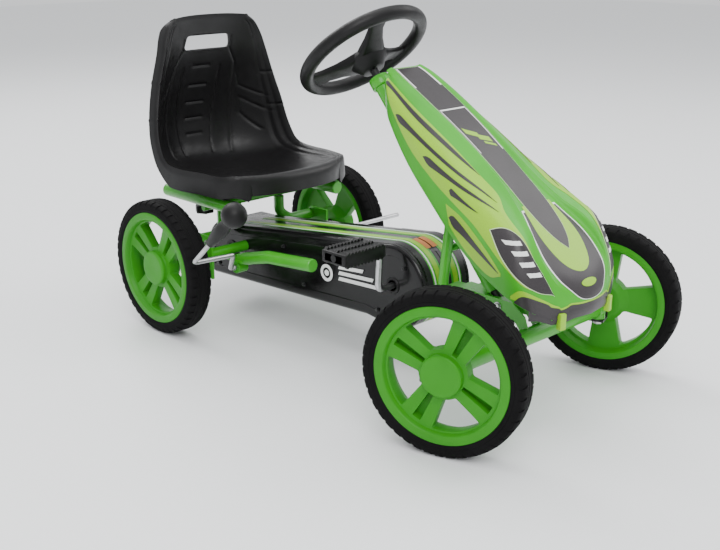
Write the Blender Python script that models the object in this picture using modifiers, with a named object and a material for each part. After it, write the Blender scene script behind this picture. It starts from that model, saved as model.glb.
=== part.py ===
"""Pedal go kart for children: the CAD model, in metres, +Z up, the front towards -Y.

Everything is placed from the front axle's centre on the floor. The driver's left is +X.
The front wheels rest steered to the driver's left, and every steered piece hangs under an
empty on its own joint axis.
"""
import math

import bmesh
import bpy
from mathutils import Vector

# ---------------------------------------------------------------- driving dimensions
WHEELBASE = 0.7245
WHEEL_X = 0.2325
TYRE_RADIUS = 0.1323
TYRE_WIDTH = 0.048
TREAD_EDGE = 0.012          # how far the tread stops short of the tyre's side
REAR_REACH = 0.932          # the seat back's rearmost point, from the front axle
STEER_REST = math.radians(18.6)

KINGPIN_X = 0.190
STUB_LENGTH = WHEEL_X - KINGPIN_X
KNUCKLE_ARM = 0.052
PITMAN_ARM = 0.035
STEER_RATIO = 0.6364        # knuckle turn for one turn of the column
COLUMN_SLOPE = math.radians(49.5)
COLUMN_COLLAR = (0.358, 0.506)
RING_ABOVE_COLLAR = 0.063

BEAM_Z = 0.127
BEAM_RADIUS = 0.0145
CRANK = (0.262, 0.163)
CRANK_LENGTH = 0.082
CHAIN_X = -0.035
CHAIN_PITCH = 0.0127
RING_TEETH = 28
SPROCKET_TEETH = 14
AXLE_RADIUS = 0.008
RAIL_X = 0.130
RAIL_Z = 0.249
SIDE_RAIL_X = 0.100
BRAKE_PIVOT = (0.650, 0.120)
BRAKE_BAR = (0.570, 0.176)
GAP = 0.0003
WHEEL_SEGMENTS = 32

TREAD_OUT = STUB_LENGTH + TYRE_WIDTH / 2 - TREAD_EDGE
FRONT_REACH = TREAD_OUT * math.sin(STEER_REST) + TYRE_RADIUS * math.cos(STEER_REST)
FRONT_Y = (FRONT_REACH - REAR_REACH) / 2
COLUMN_REST = STEER_REST / STEER_RATIO
COLUMN_UP = Vector((0, math.cos(COLUMN_SLOPE), math.sin(COLUMN_SLOPE)))

# ---------------------------------------------------------------- scene
for leftover in list(bpy.data.objects):
    bpy.data.objects.remove(leftover, do_unlink=True)

parts = bpy.data.collections.new("pedal_go_kart")
cutters = bpy.data.collections.new("cutters")
bpy.context.scene.collection.children.link(parts)
bpy.context.scene.collection.children.link(cutters)

COLOURS = {
    "green_paint": ((0.090, 0.400, 0.050), 0.30, 0.0),
    "green_plastic": ((0.095, 0.420, 0.055), 0.38, 0.0),
    "black_plastic": ((0.012, 0.012, 0.013), 0.42, 0.0),
    "black_foam": ((0.014, 0.014, 0.015), 0.75, 0.0),
    "black_steel": ((0.015, 0.015, 0.016), 0.35, 0.6),
    "bright_steel": ((0.560, 0.560, 0.570), 0.28, 1.0),
    "chain_steel": ((0.160, 0.150, 0.140), 0.40, 0.9),
}


def set_material(part, look):
    colour, roughness, metallic = COLOURS[look]
    material = bpy.data.materials.new(part.name)
    material.use_nodes = True
    shader = material.node_tree.nodes["Principled BSDF"]
    shader.inputs["Base Color"].default_value = (*colour, 1.0)
    shader.inputs["Roughness"].default_value = roughness
    shader.inputs["Metallic"].default_value = metallic
    part.data.materials.clear()
    part.data.materials.append(material)


def add_empty(name, location, parent=None, rotation=(0, 0, 0)):
    empty = bpy.data.objects.new(name, None)
    empty.location = location
    empty.rotation_euler = rotation
    empty.parent = parent
    parts.objects.link(empty)
    return empty


def place(thing, name, look, parent, location=(0, 0, 0), rotation=(0, 0, 0)):
    """Name a new object, give it its material and hang it under its parent."""
    for collection in list(thing.users_collection):
        collection.objects.unlink(thing)
    thing.name = name
    thing.parent = parent
    thing.location = location
    thing.rotation_euler = rotation
    if look is None:
        cutters.objects.link(thing)
        thing.hide_render = True
        thing.display_type = "WIRE"
    else:
        parts.objects.link(thing)
        set_material(thing, look)
    return thing


def block(name, look, parent, low, high, bevel=0.0):
    """A box between two corners, with rounded edges if bevel is given."""
    low = Vector(low)
    high = Vector(high)
    bpy.ops.mesh.primitive_cube_add(size=1)
    box = bpy.context.object
    for vertex in box.data.vertices:
        vertex.co = Vector(a * b for a, b in zip(vertex.co, high - low))
    place(box, name, look, parent, (low + high) / 2)
    if bevel:
        rounding = box.modifiers.new("rounded edges", "BEVEL")
        rounding.width = bevel
        rounding.segments = 2
    return box


def cylinder(name, look, parent, radius, start, end, vertices=20):
    """A round bar from one point to another."""
    start = Vector(start)
    end = Vector(end)
    bpy.ops.mesh.primitive_cylinder_add(vertices=vertices, radius=radius, depth=(end - start).length)
    bar = bpy.context.object
    bar.data.shade_smooth()
    bar.data.set_sharp_from_angle(angle=math.radians(35))
    turn = (end - start).to_track_quat("Z", "Y").to_euler()
    return place(bar, name, look, parent, (start + end) / 2, turn)


def turned(name, look, parent, profile, closed, segments, location=(0, 0, 0), rotation=(0, 0, 0)):
    """Turn a profile of (radius, height) points about Z; it runs top to bottom on its outer side."""
    mesh = bpy.data.meshes.new(name)
    edges = [(i, i + 1) for i in range(len(profile) - 1)]
    if closed:
        edges.append((len(profile) - 1, 0))
    mesh.from_pydata([(radius, 0, height) for radius, height in profile], edges, [])
    piece = bpy.data.objects.new(name, mesh)
    screw = piece.modifiers.new("turned", "SCREW")
    screw.steps = segments
    screw.render_steps = segments
    screw.use_merge_vertices = True
    screw.merge_threshold = 0.00001
    return place(piece, name, look, parent, location, rotation)


def bushing(name, look, parent, outer, bore, x_low, x_high, y, z, segments=20):
    """A plain ring about an axis along X."""
    half = (x_high - x_low) / 2
    profile = [(outer, half), (outer, -half), (bore, -half), (bore, half)]
    centre = ((x_low + x_high) / 2, y, z)
    return turned(name, look, parent, profile, True, segments, centre, (0, math.pi / 2, 0))


def rod(name, look, parent, points, radius, corner=0.0, resolution=2):
    """A bent tube or wire through the points, with its corners rounded to the given radius."""
    route = round_corners([Vector(point) for point in points], corner)
    curve = bpy.data.curves.new(name, "CURVE")
    curve.dimensions = "3D"
    curve.bevel_depth = radius
    curve.bevel_resolution = resolution
    curve.use_fill_caps = True
    spline = curve.splines.new("POLY")
    spline.points.add(len(route) - 1)
    for control, point in zip(spline.points, route):
        control.co = (*point, 1)
    return place(bpy.data.objects.new(name, curve), name, look, parent)


def round_corners(points, radius, steps=4):
    """Replace each inner corner by an arc that leaves both legs at the same distance."""
    if radius == 0:
        return points
    route = [points[0]]
    for before, corner, after in zip(points, points[1:], points[2:]):
        into = (before - corner).normalized()
        out = (after - corner).normalized()
        half_angle = into.angle(out) / 2
        reach = min(radius / math.tan(half_angle), (before - corner).length * 0.48,
                    (after - corner).length * 0.48)
        for step in range(steps + 1):
            t = step / steps
            start = corner + into * reach
            end = corner + out * reach
            route.append(start * (1 - t) ** 2 + corner * 2 * t * (1 - t) + end * t ** 2)
    route.append(points[-1])
    return route


def plate(name, look, parent, outlines, thickness, location=(0, 0, 0), rotation=(0, 0, 0)):
    """A flat plate from one or more closed outlines, thickness centred on its own XY plane."""
    curve = bpy.data.curves.new(name, "CURVE")
    curve.dimensions = "2D"
    curve.fill_mode = "BOTH"
    curve.extrude = thickness / 2
    for outline in outlines:
        spline = curve.splines.new("POLY")
        spline.points.add(len(outline) - 1)
        spline.use_cyclic_u = True
        for control, point in zip(spline.points, outline):
            control.co = (point[0], point[1], 0, 1)
    return place(bpy.data.objects.new(name, curve), name, look, parent, location, rotation)


def as_mesh(thing):
    """Turn a curve object into a welded mesh object with the same place and parent."""
    bpy.context.view_layer.update()
    evaluated = thing.evaluated_get(bpy.context.evaluated_depsgraph_get())
    mesh = bpy.data.meshes.new_from_object(evaluated)
    solid = bmesh.new()
    solid.from_mesh(mesh)
    bmesh.ops.remove_doubles(solid, verts=solid.verts, dist=0.00001)
    bmesh.ops.recalc_face_normals(solid, faces=solid.faces)
    solid.to_mesh(mesh)
    solid.free()
    result = bpy.data.objects.new(thing.name, mesh)
    result.parent = thing.parent
    result.location = thing.location
    result.rotation_euler = thing.rotation_euler
    result.hide_render = thing.hide_render
    result.display_type = thing.display_type
    thing.users_collection[0].objects.link(result)
    name = thing.name
    bpy.data.objects.remove(thing, do_unlink=True)
    result.name = name
    return result


def combine(thing, other, operation):
    """Cut another object out of this one, or join it on, with an EXACT Boolean."""
    step = thing.modifiers.new(other.name, "BOOLEAN")
    step.operation = operation
    step.object = other
    step.solver = "EXACT"


def arc(radius, start, end, steps, centre=(0, 0)):
    """Points on an arc, with both ends, angles in degrees."""
    angles = [math.radians(start + (end - start) * i / steps) for i in range(steps + 1)]
    return [(centre[0] + radius * math.cos(a), centre[1] + radius * math.sin(a)) for a in angles]


axle_origin = add_empty("front_axle_on_the_floor", (0, FRONT_Y, 0))
FIXED = axle_origin


# ---------------------------------------------------------------- wheels
def build_wheel(label, outward, hub, bore, spoke_phase):
    """A green rim with four twin spokes, a foam tyre and a hub cap; outward is +1 or -1 along X."""
    turn = (0, outward * math.pi / 2, 0)
    half = TYRE_WIDTH / 2
    shoulder = TYRE_RADIUS - 0.0045
    tyre = [(0.1100, half - 0.001), (0.1130, half), (shoulder, half - 0.001),
            (TYRE_RADIUS, half - TREAD_EDGE), (TYRE_RADIUS, TREAD_EDGE - half), (shoulder, 0.001 - half),
            (0.1130, -half), (0.1100, 0.001 - half)]
    turned(f"{label}_tyre", "black_foam", hub, tyre, True, WHEEL_SEGMENTS, rotation=turn)
    rim = [(bore, 0.0160), (0.0400, 0.0160), (0.0440, 0.0100), (0.0920, 0.0140), (0.0960, 0.0233),
           (0.1097, 0.0225), (0.1097, -0.0225), (0.0980, -0.0233), (0.0940, -0.0060), (0.0440, -0.0060),
           (0.0300, -0.0200), (bore, -0.0200)]
    wheel = turned(f"{label}_rim", "green_plastic", hub, rim, True, WHEEL_SEGMENTS, rotation=turn)
    windows = []
    slots = []
    for quarter in range(4):
        middle = spoke_phase + 90 * quarter
        window = middle + 45
        windows.append(arc(0.0905, window - 27, window + 27, 6) + arc(0.0480, window + 14, window - 14, 3))
        along = Vector((math.cos(math.radians(middle)), math.sin(math.radians(middle))))
        across = Vector((-along.y, along.x))
        slots.append([along * r + across * w for r, w in
                      ((0.050, 0.0035), (0.050, -0.0035), (0.086, -0.0055), (0.086, 0.0055))])
    window_cutter = as_mesh(plate(f"{label}_windows", None, hub, windows, 0.08, rotation=turn))
    slot_cutter = as_mesh(plate(f"{label}_slots", None, hub, slots, 0.016,
                                (outward * 0.0125, 0, 0), turn))
    combine(wheel, window_cutter, "DIFFERENCE")
    combine(wheel, slot_cutter, "DIFFERENCE")
    cap = [(0.0, half), (0.0230, half - 0.0008), (0.0310, half - 0.0030), (0.0340, half - 0.0060),
           (0.0340, 0.0160 + GAP), (0.0, 0.0160 + GAP)]
    turned(f"{label}_hub_cap", "green_plastic", hub, cap, False, 24, rotation=turn)


# ---------------------------------------------------------------- front axle and steering
def build_front_frame():
    beam = cylinder("front_axle_beam", "green_paint", FIXED, BEAM_RADIUS, (-KINGPIN_X, 0, BEAM_Z),
                    (KINGPIN_X, 0, BEAM_Z), 24)
    for side in (1, -1):
        boss = cylinder(f"kingpin_boss_{side}", None, FIXED, 0.0125, (side * KINGPIN_X, 0, 0.1080),
                        (side * KINGPIN_X, 0, 0.1560), 20)
        bore = cylinder(f"kingpin_bore_{side}", None, FIXED, 0.0053, (side * KINGPIN_X, 0, 0.09),
                        (side * KINGPIN_X, 0, 0.17), 20)
        combine(beam, boss, "UNION")
        combine(beam, bore, "DIFFERENCE")
    # The channel that carries the front beam and the column's tube.
    outline = [(0.150, 0.147), (0.150, 0.179), (0.030, 0.179), (0.004, 0.160), (-0.004, 0.138),
               (0.012, 0.134), (0.026, 0.150), (0.100, 0.150)]
    channel = as_mesh(plate("front_channel", "green_paint", FIXED, [outline], 0.038,
                            rotation=(math.pi / 2, 0, math.pi / 2)))
    inside = block("channel_inside", None, FIXED, (-0.016, -0.05, 0.10), (0.016, 0.20, 0.176))
    beam_seat = cylinder("channel_beam_seat", None, FIXED, BEAM_RADIUS + GAP, (-0.05, 0, BEAM_Z),
                         (0.05, 0, BEAM_Z), 24)
    tube_hole = cylinder("channel_tube_hole", None, FIXED, 0.0145, on_column(-0.60), on_column(-0.30), 24)
    for cutter in (inside, beam_seat, tube_hole):
        combine(channel, cutter, "DIFFERENCE")


def on_column(distance):
    """The point on the column's axis this far above the collar, in axle coordinates."""
    return Vector((0, *COLUMN_COLLAR)) + COLUMN_UP * distance


def build_knuckle(label, outward, pivot):
    """The stub axle's bracket, its kingpin bolt and the stub, about the kingpin's axis."""
    bracket = [(-0.0125, 0.1040), (0.0165, 0.1040), (0.0165, 0.1600), (-0.0125, 0.1600),
               (-0.0125, 0.1565), (0.0131, 0.1565), (0.0131, 0.1075), (-0.0125, 0.1075)]
    outline = [(outward * x, z) for x, z in bracket]
    knuckle = as_mesh(plate(f"knuckle_bracket_{label}", "black_steel", pivot, [outline], 0.026,
                            rotation=(math.pi / 2, 0, 0)))
    stub = cylinder(f"stub_axle_{label}", None, pivot, 0.0060, (outward * 0.0150, 0, TYRE_RADIUS),
                    (outward * (STUB_LENGTH + 0.0150), 0, TYRE_RADIUS))
    arm_outline = [(-0.009, 0.006), (0.009, 0.006), *arc(0.009, 0, 180, 6, (0, KNUCKLE_ARM))]
    arm = as_mesh(plate(f"steering_arm_{label}", None, pivot, [arm_outline], 0.0030, (0, 0, 0.1058)))
    pin_hole = cylinder(f"knuckle_pin_hole_{label}", None, pivot, 0.0053, (0, 0, 0.09), (0, 0, 0.17))
    combine(knuckle, stub, "UNION")
    combine(knuckle, arm, "UNION")
    combine(knuckle, pin_hole, "DIFFERENCE")
    head = 0.0085
    shank = 0.0050
    pin = [(0.0, 0.1655), (head, 0.1655), (head, 0.1600 + GAP), (shank, 0.1600 + GAP),
           (shank, 0.1040 - GAP), (head, 0.1040 - GAP), (head, 0.0975), (0.0, 0.0960)]
    turned(f"kingpin_bolt_{label}", "bright_steel", pivot, pin, False, 18)


def build_steering():
    for label, outward in (("left", 1), ("right", -1)):
        pivot = add_empty(f"kingpin_axis_{label}", (outward * KINGPIN_X, 0, 0), FIXED, (0, 0, STEER_REST))
        build_knuckle(label, outward, pivot)
        hub = add_empty(f"front_hub_{label}", (outward * STUB_LENGTH, 0, TYRE_RADIUS), pivot)
        build_wheel(f"front_wheel_{label}", outward, hub, 0.0063, 62 if label == "right" else -3)

    arm_end = Vector((-KNUCKLE_ARM * math.sin(STEER_REST), KNUCKLE_ARM * math.cos(STEER_REST), 0))
    rod_axis = add_empty("tie_rod_slide", arm_end + Vector((0, 0, 0.0965)), FIXED)
    tie_rod = cylinder("tie_rod", "black_steel", rod_axis, 0.0045, (-KINGPIN_X, 0, 0), (KINGPIN_X, 0, 0), 12)
    for side in (1, -1):
        eye = cylinder(f"tie_rod_eye_{side}", None, rod_axis, 0.0090, (side * KINGPIN_X, 0, -0.005),
                       (side * KINGPIN_X, 0, 0.0072), 16)
        fork = block(f"tie_rod_fork_{side}", None, rod_axis,
                     (side * 0.0105 - 0.0020, -0.0120, -0.0030), (side * 0.0105 + 0.0020, 0.0260, 0.0150))
        combine(tie_rod, eye, "UNION")
        combine(tie_rod, fork, "UNION")

    # The column turns in its own axes: Z runs up the column, and X is the kart's X.
    collar = add_empty("column_axis", on_column(0), FIXED, (COLUMN_SLOPE - math.pi / 2, 0, 0))
    turn = add_empty("column_turn", (0, 0, 0), collar, (0, 0, COLUMN_REST))
    foot = -0.486
    column = cylinder("steering_column", "black_steel", turn, 0.0075, (0, 0, foot), (0, 0, 0.022), 20)
    outline = arc(0.0110, 0, -180, 8) + arc(0.0065, 180, 0, 6, (0, PITMAN_ARM))
    pitman = as_mesh(plate("pitman_arm", None, turn, [outline], 0.004, (0, 0, foot)))
    pin = cylinder("pitman_pin", None, turn, 0.0060, (0, PITMAN_ARM, foot - 0.0140),
                   (0, PITMAN_ARM, foot + 0.0010), 12)
    combine(column, pitman, "UNION")
    combine(column, pin, "UNION")
    build_steering_wheel(turn)
    sleeve = [(0.0185, 0.006), (0.0185, -0.012), (0.0140, -0.013), (0.0140, -0.425), (0.0085, -0.425),
              (0.0085, 0.006)]
    turned("steering_column_tube", "green_paint", collar, sleeve, True, 20)


def build_steering_wheel(turn):
    bpy.ops.mesh.primitive_torus_add(major_segments=36, minor_segments=8, major_radius=0.1125,
                                     minor_radius=0.0125)
    wheel = bpy.context.object
    wheel.data.shade_smooth()
    place(wheel, "steering_wheel", "black_plastic", turn, (0, 0, RING_ABOVE_COLLAR))
    hub = turned("steering_wheel_hub", None, turn,
                 [(0.0, 0.052), (0.0260, 0.050), (0.0320, 0.044), (0.0200, 0.0225), (0.0, 0.0225)],
                 False, 24)
    combine(wheel, hub, "UNION")
    for index, (angle, width) in enumerate(((100, 0.040), (220, 0.026), (340, 0.026))):
        spoke = block(f"steering_spoke_{index}", None, turn, (0.0, -width / 2, -0.0060),
                      (0.106, width / 2, 0.0060), 0.003)
        for vertex in spoke.data.vertices:
            vertex.co.x += 0.061
        spoke.location = (0, 0, 0.049)
        spoke.rotation_euler = (0, math.radians(-5), math.radians(angle))
        combine(wheel, spoke, "UNION")


# ---------------------------------------------------------------- main frame
def build_main_frame():
    path = [(0.096, 0.160), (0.172, 0.160), (0.222, 0.1315), (0.310, 0.1290), (0.450, 0.138), (0.630, 0.149)]
    half = 0.015
    upper = []
    lower = []
    for index, (y, z) in enumerate(path):
        before = Vector(path[max(index - 1, 0)])
        after = Vector(path[min(index + 1, len(path) - 1)])
        side = (after - before).normalized()
        normal = Vector((-side.y, side.x))
        upper.append(Vector((y, z)) + normal * half)
        lower.append(Vector((y, z)) - normal * half)
    beam = as_mesh(plate("main_beam", "green_paint", FIXED, [upper + lower[::-1]], 2 * half,
                         rotation=(math.pi / 2, 0, math.pi / 2)))
    rounding = beam.modifiers.new("rounded edges", "BEVEL")
    rounding.width = 0.002
    rounding.segments = 1
    rounding.limit_method = "ANGLE"
    rounding.angle_limit = math.radians(60)
    bushing("bottom_bracket", "green_paint", FIXED, 0.0115, 0.0063, -0.026, 0.050, *CRANK)
    for label, side in (("left", 1), ("right", -1)):
        outline = [(0.668, 0.100), (0.745, 0.100), (0.745, 0.160), (0.720, 0.186), (0.668, 0.186)]
        cheek = as_mesh(plate(f"rear_bearing_plate_{label}", "green_paint", FIXED, [outline], 0.005,
                              (side * 0.1525, 0, 0), (math.pi / 2, 0, math.pi / 2)))
        bore = cylinder(f"rear_bearing_hole_{label}", None, FIXED, 0.0150,
                        (side * 0.14, WHEELBASE, TYRE_RADIUS), (side * 0.19, WHEELBASE, TYRE_RADIUS))
        combine(cheek, bore, "DIFFERENCE")
        bushing(f"rear_bearing_{label}", "black_plastic", FIXED, 0.0147, AXLE_RADIUS + GAP,
                *sorted((side * 0.1460, side * 0.1800)), WHEELBASE, TYRE_RADIUS)
        rod(f"seat_post_{label}", "green_paint", FIXED,
            [(side * 0.075, 0.735, 0.2205), (side * 0.075, 0.735, 0.185), (side * 0.090, 0.720, 0.1700),
             (side * 0.1495, 0.720, 0.1700)], 0.0110, 0.02, 2)
        rod(f"seat_rail_{label}", "green_paint", FIXED,
            [(side * RAIL_X, 0.610, RAIL_Z), (side * RAIL_X, 0.845, RAIL_Z)], 0.0135, 0, 3)
        build_side_rail(label, side * SIDE_RAIL_X)
    rod("rear_cross_tube", "green_paint", FIXED, [(-0.1497, 0.6820, 0.1480), (0.1497, 0.6820, 0.1480)],
        0.0105, 0, 2)
    rod("seat_cross_tube", "green_paint", FIXED, [(-0.1500, 0.735, 0.2280), (0.1500, 0.735, 0.2280)],
        0.0072, 0, 2)


def build_side_rail(label, x):
    """A closed tube beside the chain case, with the flat tail and the eye that holds the brake."""
    rail = as_mesh(rod(f"side_rail_{label}", "green_paint", FIXED,
                       [(x, 0.430, 0.170), (x, 0.560, 0.158), (x, 0.650, 0.1340)], 0.0125, 0.04, 3))
    tail = block(f"side_rail_tail_{label}", None, FIXED, (x - 0.014, 0.630, 0.1310),
                 (x + 0.014, 0.708, 0.1368))
    eye = cylinder(f"side_rail_eye_{label}", None, FIXED, 0.0130, (x - 0.0115, *BRAKE_PIVOT),
                   (x + 0.0115, *BRAKE_PIVOT))
    bore = cylinder(f"side_rail_bore_{label}", None, FIXED, 0.0045 + GAP, (x - 0.03, *BRAKE_PIVOT),
                    (x + 0.03, *BRAKE_PIVOT))
    combine(rail, tail, "UNION")
    combine(rail, eye, "UNION")
    combine(rail, bore, "DIFFERENCE")


def build_fairing_supports():
    for label, side in (("left", 1), ("right", -1)):
        rod(f"fairing_post_{label}", "green_paint", FIXED,
            [(side * 0.0193, 0.1450, 0.163), (side * 0.060, 0.1450, 0.163), (side * 0.060, 0.1450, 0.200),
             (side * 0.060, 0.1300, 0.3300), (side * 0.060, 0.150, 0.3560)], 0.0090, 0.025, 2)
        rod(f"fairing_brace_{label}", "green_paint", FIXED,
            [(side * 0.0145, 0.1430, 0.2550), (side * 0.0505, 0.1400, 0.2550)], 0.0060, 0, 2)
    rod("fairing_top_bar", "green_paint", FIXED, [(-0.0700, 0.1530, 0.3740), (0.0700, 0.1530, 0.3740)],
        0.0080, 0, 2)


# ---------------------------------------------------------------- pedals, chain and rear axle
def sprocket_outline(teeth):
    """Teeth as a simple saw between the root and the tip circles."""
    pitch_radius = CHAIN_PITCH / (2 * math.sin(math.pi / teeth))
    outline = []
    for tooth in range(teeth):
        for share, radius in ((0.0, pitch_radius - 0.0045), (0.35, pitch_radius - 0.0005),
                              (0.65, pitch_radius - 0.0005)):
            angle = 2 * math.pi * (tooth + share) / teeth
            outline.append((radius * math.cos(angle), radius * math.sin(angle)))
    return outline


def add_sprocket(name, parent, teeth, bore):
    disc = as_mesh(plate(name, "chain_steel", parent, [sprocket_outline(teeth)], 0.003,
                         (CHAIN_X, 0, 0), (math.pi / 2, 0, math.pi / 2)))
    hole = cylinder(f"{name}_bore", None, parent, bore, (CHAIN_X - 0.02, 0, 0), (CHAIN_X + 0.02, 0, 0))
    combine(disc, hole, "DIFFERENCE")


def chain_loop(offset):
    """The outline round both sprockets, this far outside the pitch circles, from behind."""
    ring = CHAIN_PITCH / (2 * math.sin(math.pi / RING_TEETH)) + offset
    sprocket = CHAIN_PITCH / (2 * math.sin(math.pi / SPROCKET_TEETH)) + offset
    line = Vector((WHEELBASE - CRANK[0], TYRE_RADIUS - CRANK[1]))
    lean = math.degrees(math.atan2(line.y, line.x))
    spread = math.degrees(math.asin((ring - sprocket) / line.length))
    front = arc(ring, lean + 90 - spread, lean + 270 + spread, 20, CRANK)
    back = arc(sprocket, lean - 90 + spread, lean + 90 - spread, 12, (WHEELBASE, TYRE_RADIUS))
    return front + back


def build_drive():
    crank_axis = add_empty("crank_axis", (0, *CRANK), FIXED)
    arm_x = 0.098
    end_x = 0.203
    rod("crank", "bright_steel", crank_axis,
        [(-end_x, -0.005, CRANK_LENGTH), (-arm_x, -0.005, CRANK_LENGTH), (-arm_x, 0, 0), (arm_x, 0, 0),
         (arm_x, 0.005, -CRANK_LENGTH), (end_x, 0.005, -CRANK_LENGTH)], 0.0060, 0.010, 2)
    add_sprocket("chainring", crank_axis, RING_TEETH, 0.0063)
    for label, side in (("left", 1), ("right", -1)):
        spindle = add_empty(f"pedal_axis_{label}", (0, side * 0.005, -side * CRANK_LENGTH), crank_axis)
        pedal = block(f"pedal_{label}", "black_plastic", spindle,
                      (min(side * 0.113, side * 0.208), -0.0290, -0.0135),
                      (max(side * 0.113, side * 0.208), 0.0290, 0.0135), 0.004)
        bore = cylinder(f"pedal_bore_{label}", None, spindle, 0.0063, (side * 0.09, 0, 0),
                        (side * 0.2045, 0, 0))
        combine(pedal, bore, "DIFFERENCE")
    plate("chain", "chain_steel", FIXED, [chain_loop(0.0036), chain_loop(-0.0001)], 0.006,
          (CHAIN_X, 0, 0), (math.pi / 2, 0, math.pi / 2))

    rear_axis = add_empty("rear_axle_axis", (0, WHEELBASE, TYRE_RADIUS), FIXED)
    axle_end = WHEEL_X + 0.0150
    cylinder("rear_axle", "bright_steel", rear_axis, AXLE_RADIUS, (-axle_end, 0, 0), (axle_end, 0, 0), 24)
    add_sprocket("rear_sprocket", rear_axis, SPROCKET_TEETH, AXLE_RADIUS + GAP)
    for label, side in (("left", 1), ("right", -1)):
        bushing(f"axle_spacer_{label}", "black_plastic", rear_axis, 0.0120, AXLE_RADIUS + GAP,
                *sorted((side * 0.1805, side * 0.2121)), 0, 0)
        hub = add_empty(f"rear_hub_{label}", (side * WHEEL_X, 0, 0), rear_axis)
        build_wheel(f"rear_wheel_{label}", side, hub, AXLE_RADIUS + GAP, 53 if label == "right" else 30)


# ---------------------------------------------------------------- chain case
def build_chain_case():
    drum = (0.264, 0.160)
    outline = [*arc(0.078, 78, 282, 14, drum), (0.330, 0.090), (0.790, 0.066), (0.806, 0.072),
               *arc(0.050, -20, 75, 5, (0.756, 0.134)), (0.715, 0.184)]
    holes = []
    for label, (y, z), radius in (("crank", CRANK, 0.0100), ("axle", (WHEELBASE, TYRE_RADIUS), 0.0120),
                                  ("brake", BRAKE_PIVOT, 0.0070), ("cross", (0.682, 0.148), 0.0115)):
        holes.append(cylinder(f"case_{label}_hole", None, FIXED, radius, (-0.09, y, z), (0.09, y, z)))
    holes.append(block("case_beam_notch", None, FIXED, (-0.0156, 0.15, 0.125), (0.0156, 0.205, 0.1765)))
    for label, side in (("left", 1), ("right", -1)):
        tray = bmesh.new()
        rim = [tray.verts.new((side * 0.062, y, z)) for y, z in outline]
        face = tray.faces.new(rim)
        walls = bmesh.ops.extrude_edge_only(tray, edges=list(face.edges))
        moved = [v for v in walls["geom"] if isinstance(v, bmesh.types.BMVert)]
        bmesh.ops.translate(tray, verts=moved, vec=(-side * (0.062 - GAP), 0, 0))
        bmesh.ops.recalc_face_normals(tray, faces=tray.faces)
        mesh = bpy.data.meshes.new(f"chain_case_{label}")
        tray.to_mesh(mesh)
        tray.free()
        case = bpy.data.objects.new(mesh.name, mesh)
        place(case, mesh.name, "black_plastic", FIXED)
        rounding = case.modifiers.new("rounded edge", "BEVEL")
        rounding.width = 0.006
        rounding.segments = 2
        rounding.limit_method = "ANGLE"
        rounding.angle_limit = math.radians(60)
        wall = case.modifiers.new("wall", "SOLIDIFY")
        wall.thickness = 0.0022
        wall.offset = -1
        for hole in holes:
            combine(case, hole, "DIFFERENCE")


# ---------------------------------------------------------------- fairing
def loft(name, look, parent, sections, thickness, skip=()):
    """A skin across rows of points, with Solidify for its wall; skip leaves cells out as holes."""
    rows = len(sections)
    columns = len(sections[0])
    mesh = bpy.data.meshes.new(name)
    corners = [point for section in sections for point in section]
    faces = [(r * columns + c, r * columns + c + 1, (r + 1) * columns + c + 1, (r + 1) * columns + c)
             for r in range(rows - 1) for c in range(columns - 1) if (r, c) not in skip]
    mesh.from_pydata(corners, [], faces)
    mesh.shade_smooth()
    skin = bpy.data.objects.new(name, mesh)
    place(skin, name, look, parent)
    wall = skin.modifiers.new("wall", "SOLIDIFY")
    wall.thickness = thickness
    wall.offset = -1
    return skin


def build_fairing():
    """Half sections from the middle outwards: crown, ridge, shoulder, side and lower edge."""
    stations = [
        # y, middle z, half width, side depth, crown, ridge x, ridge height, shoulder height
        (0.296, 0.534, 0.050, 0.055, 0.002, 0.036, 0.004, -0.004),
        (0.270, 0.512, 0.066, 0.062, 0.011, 0.040, 0.014, 0.001),
        (0.215, 0.470, 0.079, 0.080, 0.022, 0.041, 0.026, 0.004),
        (0.150, 0.422, 0.090, 0.088, 0.030, 0.040, 0.035, 0.010),
        (0.095, 0.384, 0.101, 0.092, 0.030, 0.039, 0.037, 0.012),
        (0.045, 0.348, 0.111, 0.086, 0.029, 0.042, 0.036, 0.018),
        (0.000, 0.316, 0.119, 0.074, 0.025, 0.054, 0.034, 0.024),
        (-0.040, 0.289, 0.123, 0.062, 0.018, 0.070, 0.034, 0.026),
        (-0.070, 0.268, 0.119, 0.050, 0.010, 0.078, 0.022, 0.014),
        (-0.094, 0.249, 0.104, 0.044, 0.004, 0.072, 0.008, 0.002),
        (-0.108, 0.230, 0.082, 0.038, 0.000, 0.056, -0.003, -0.006),
    ]
    sections = []
    for y, z, half, depth, crown, ridge, rise, shoulder in stations:
        side = [(0.0, z + crown), (ridge - 0.007, z + crown), (ridge, z + rise), (half * 0.86, z + shoulder),
                (half, z - depth * 0.25), (half * 0.97, z - depth)]
        mirrored = [(-x, h) for x, h in side[:0:-1]]
        sections.append([(x, y, h) for x, h in mirrored + side])
    nose = [(x * 0.90, y - 0.003, z - 0.022) for x, y, z in sections[-1]]
    sections.append(nose)
    return loft("fairing", "green_plastic", FIXED, sections, 0.0032)


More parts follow.
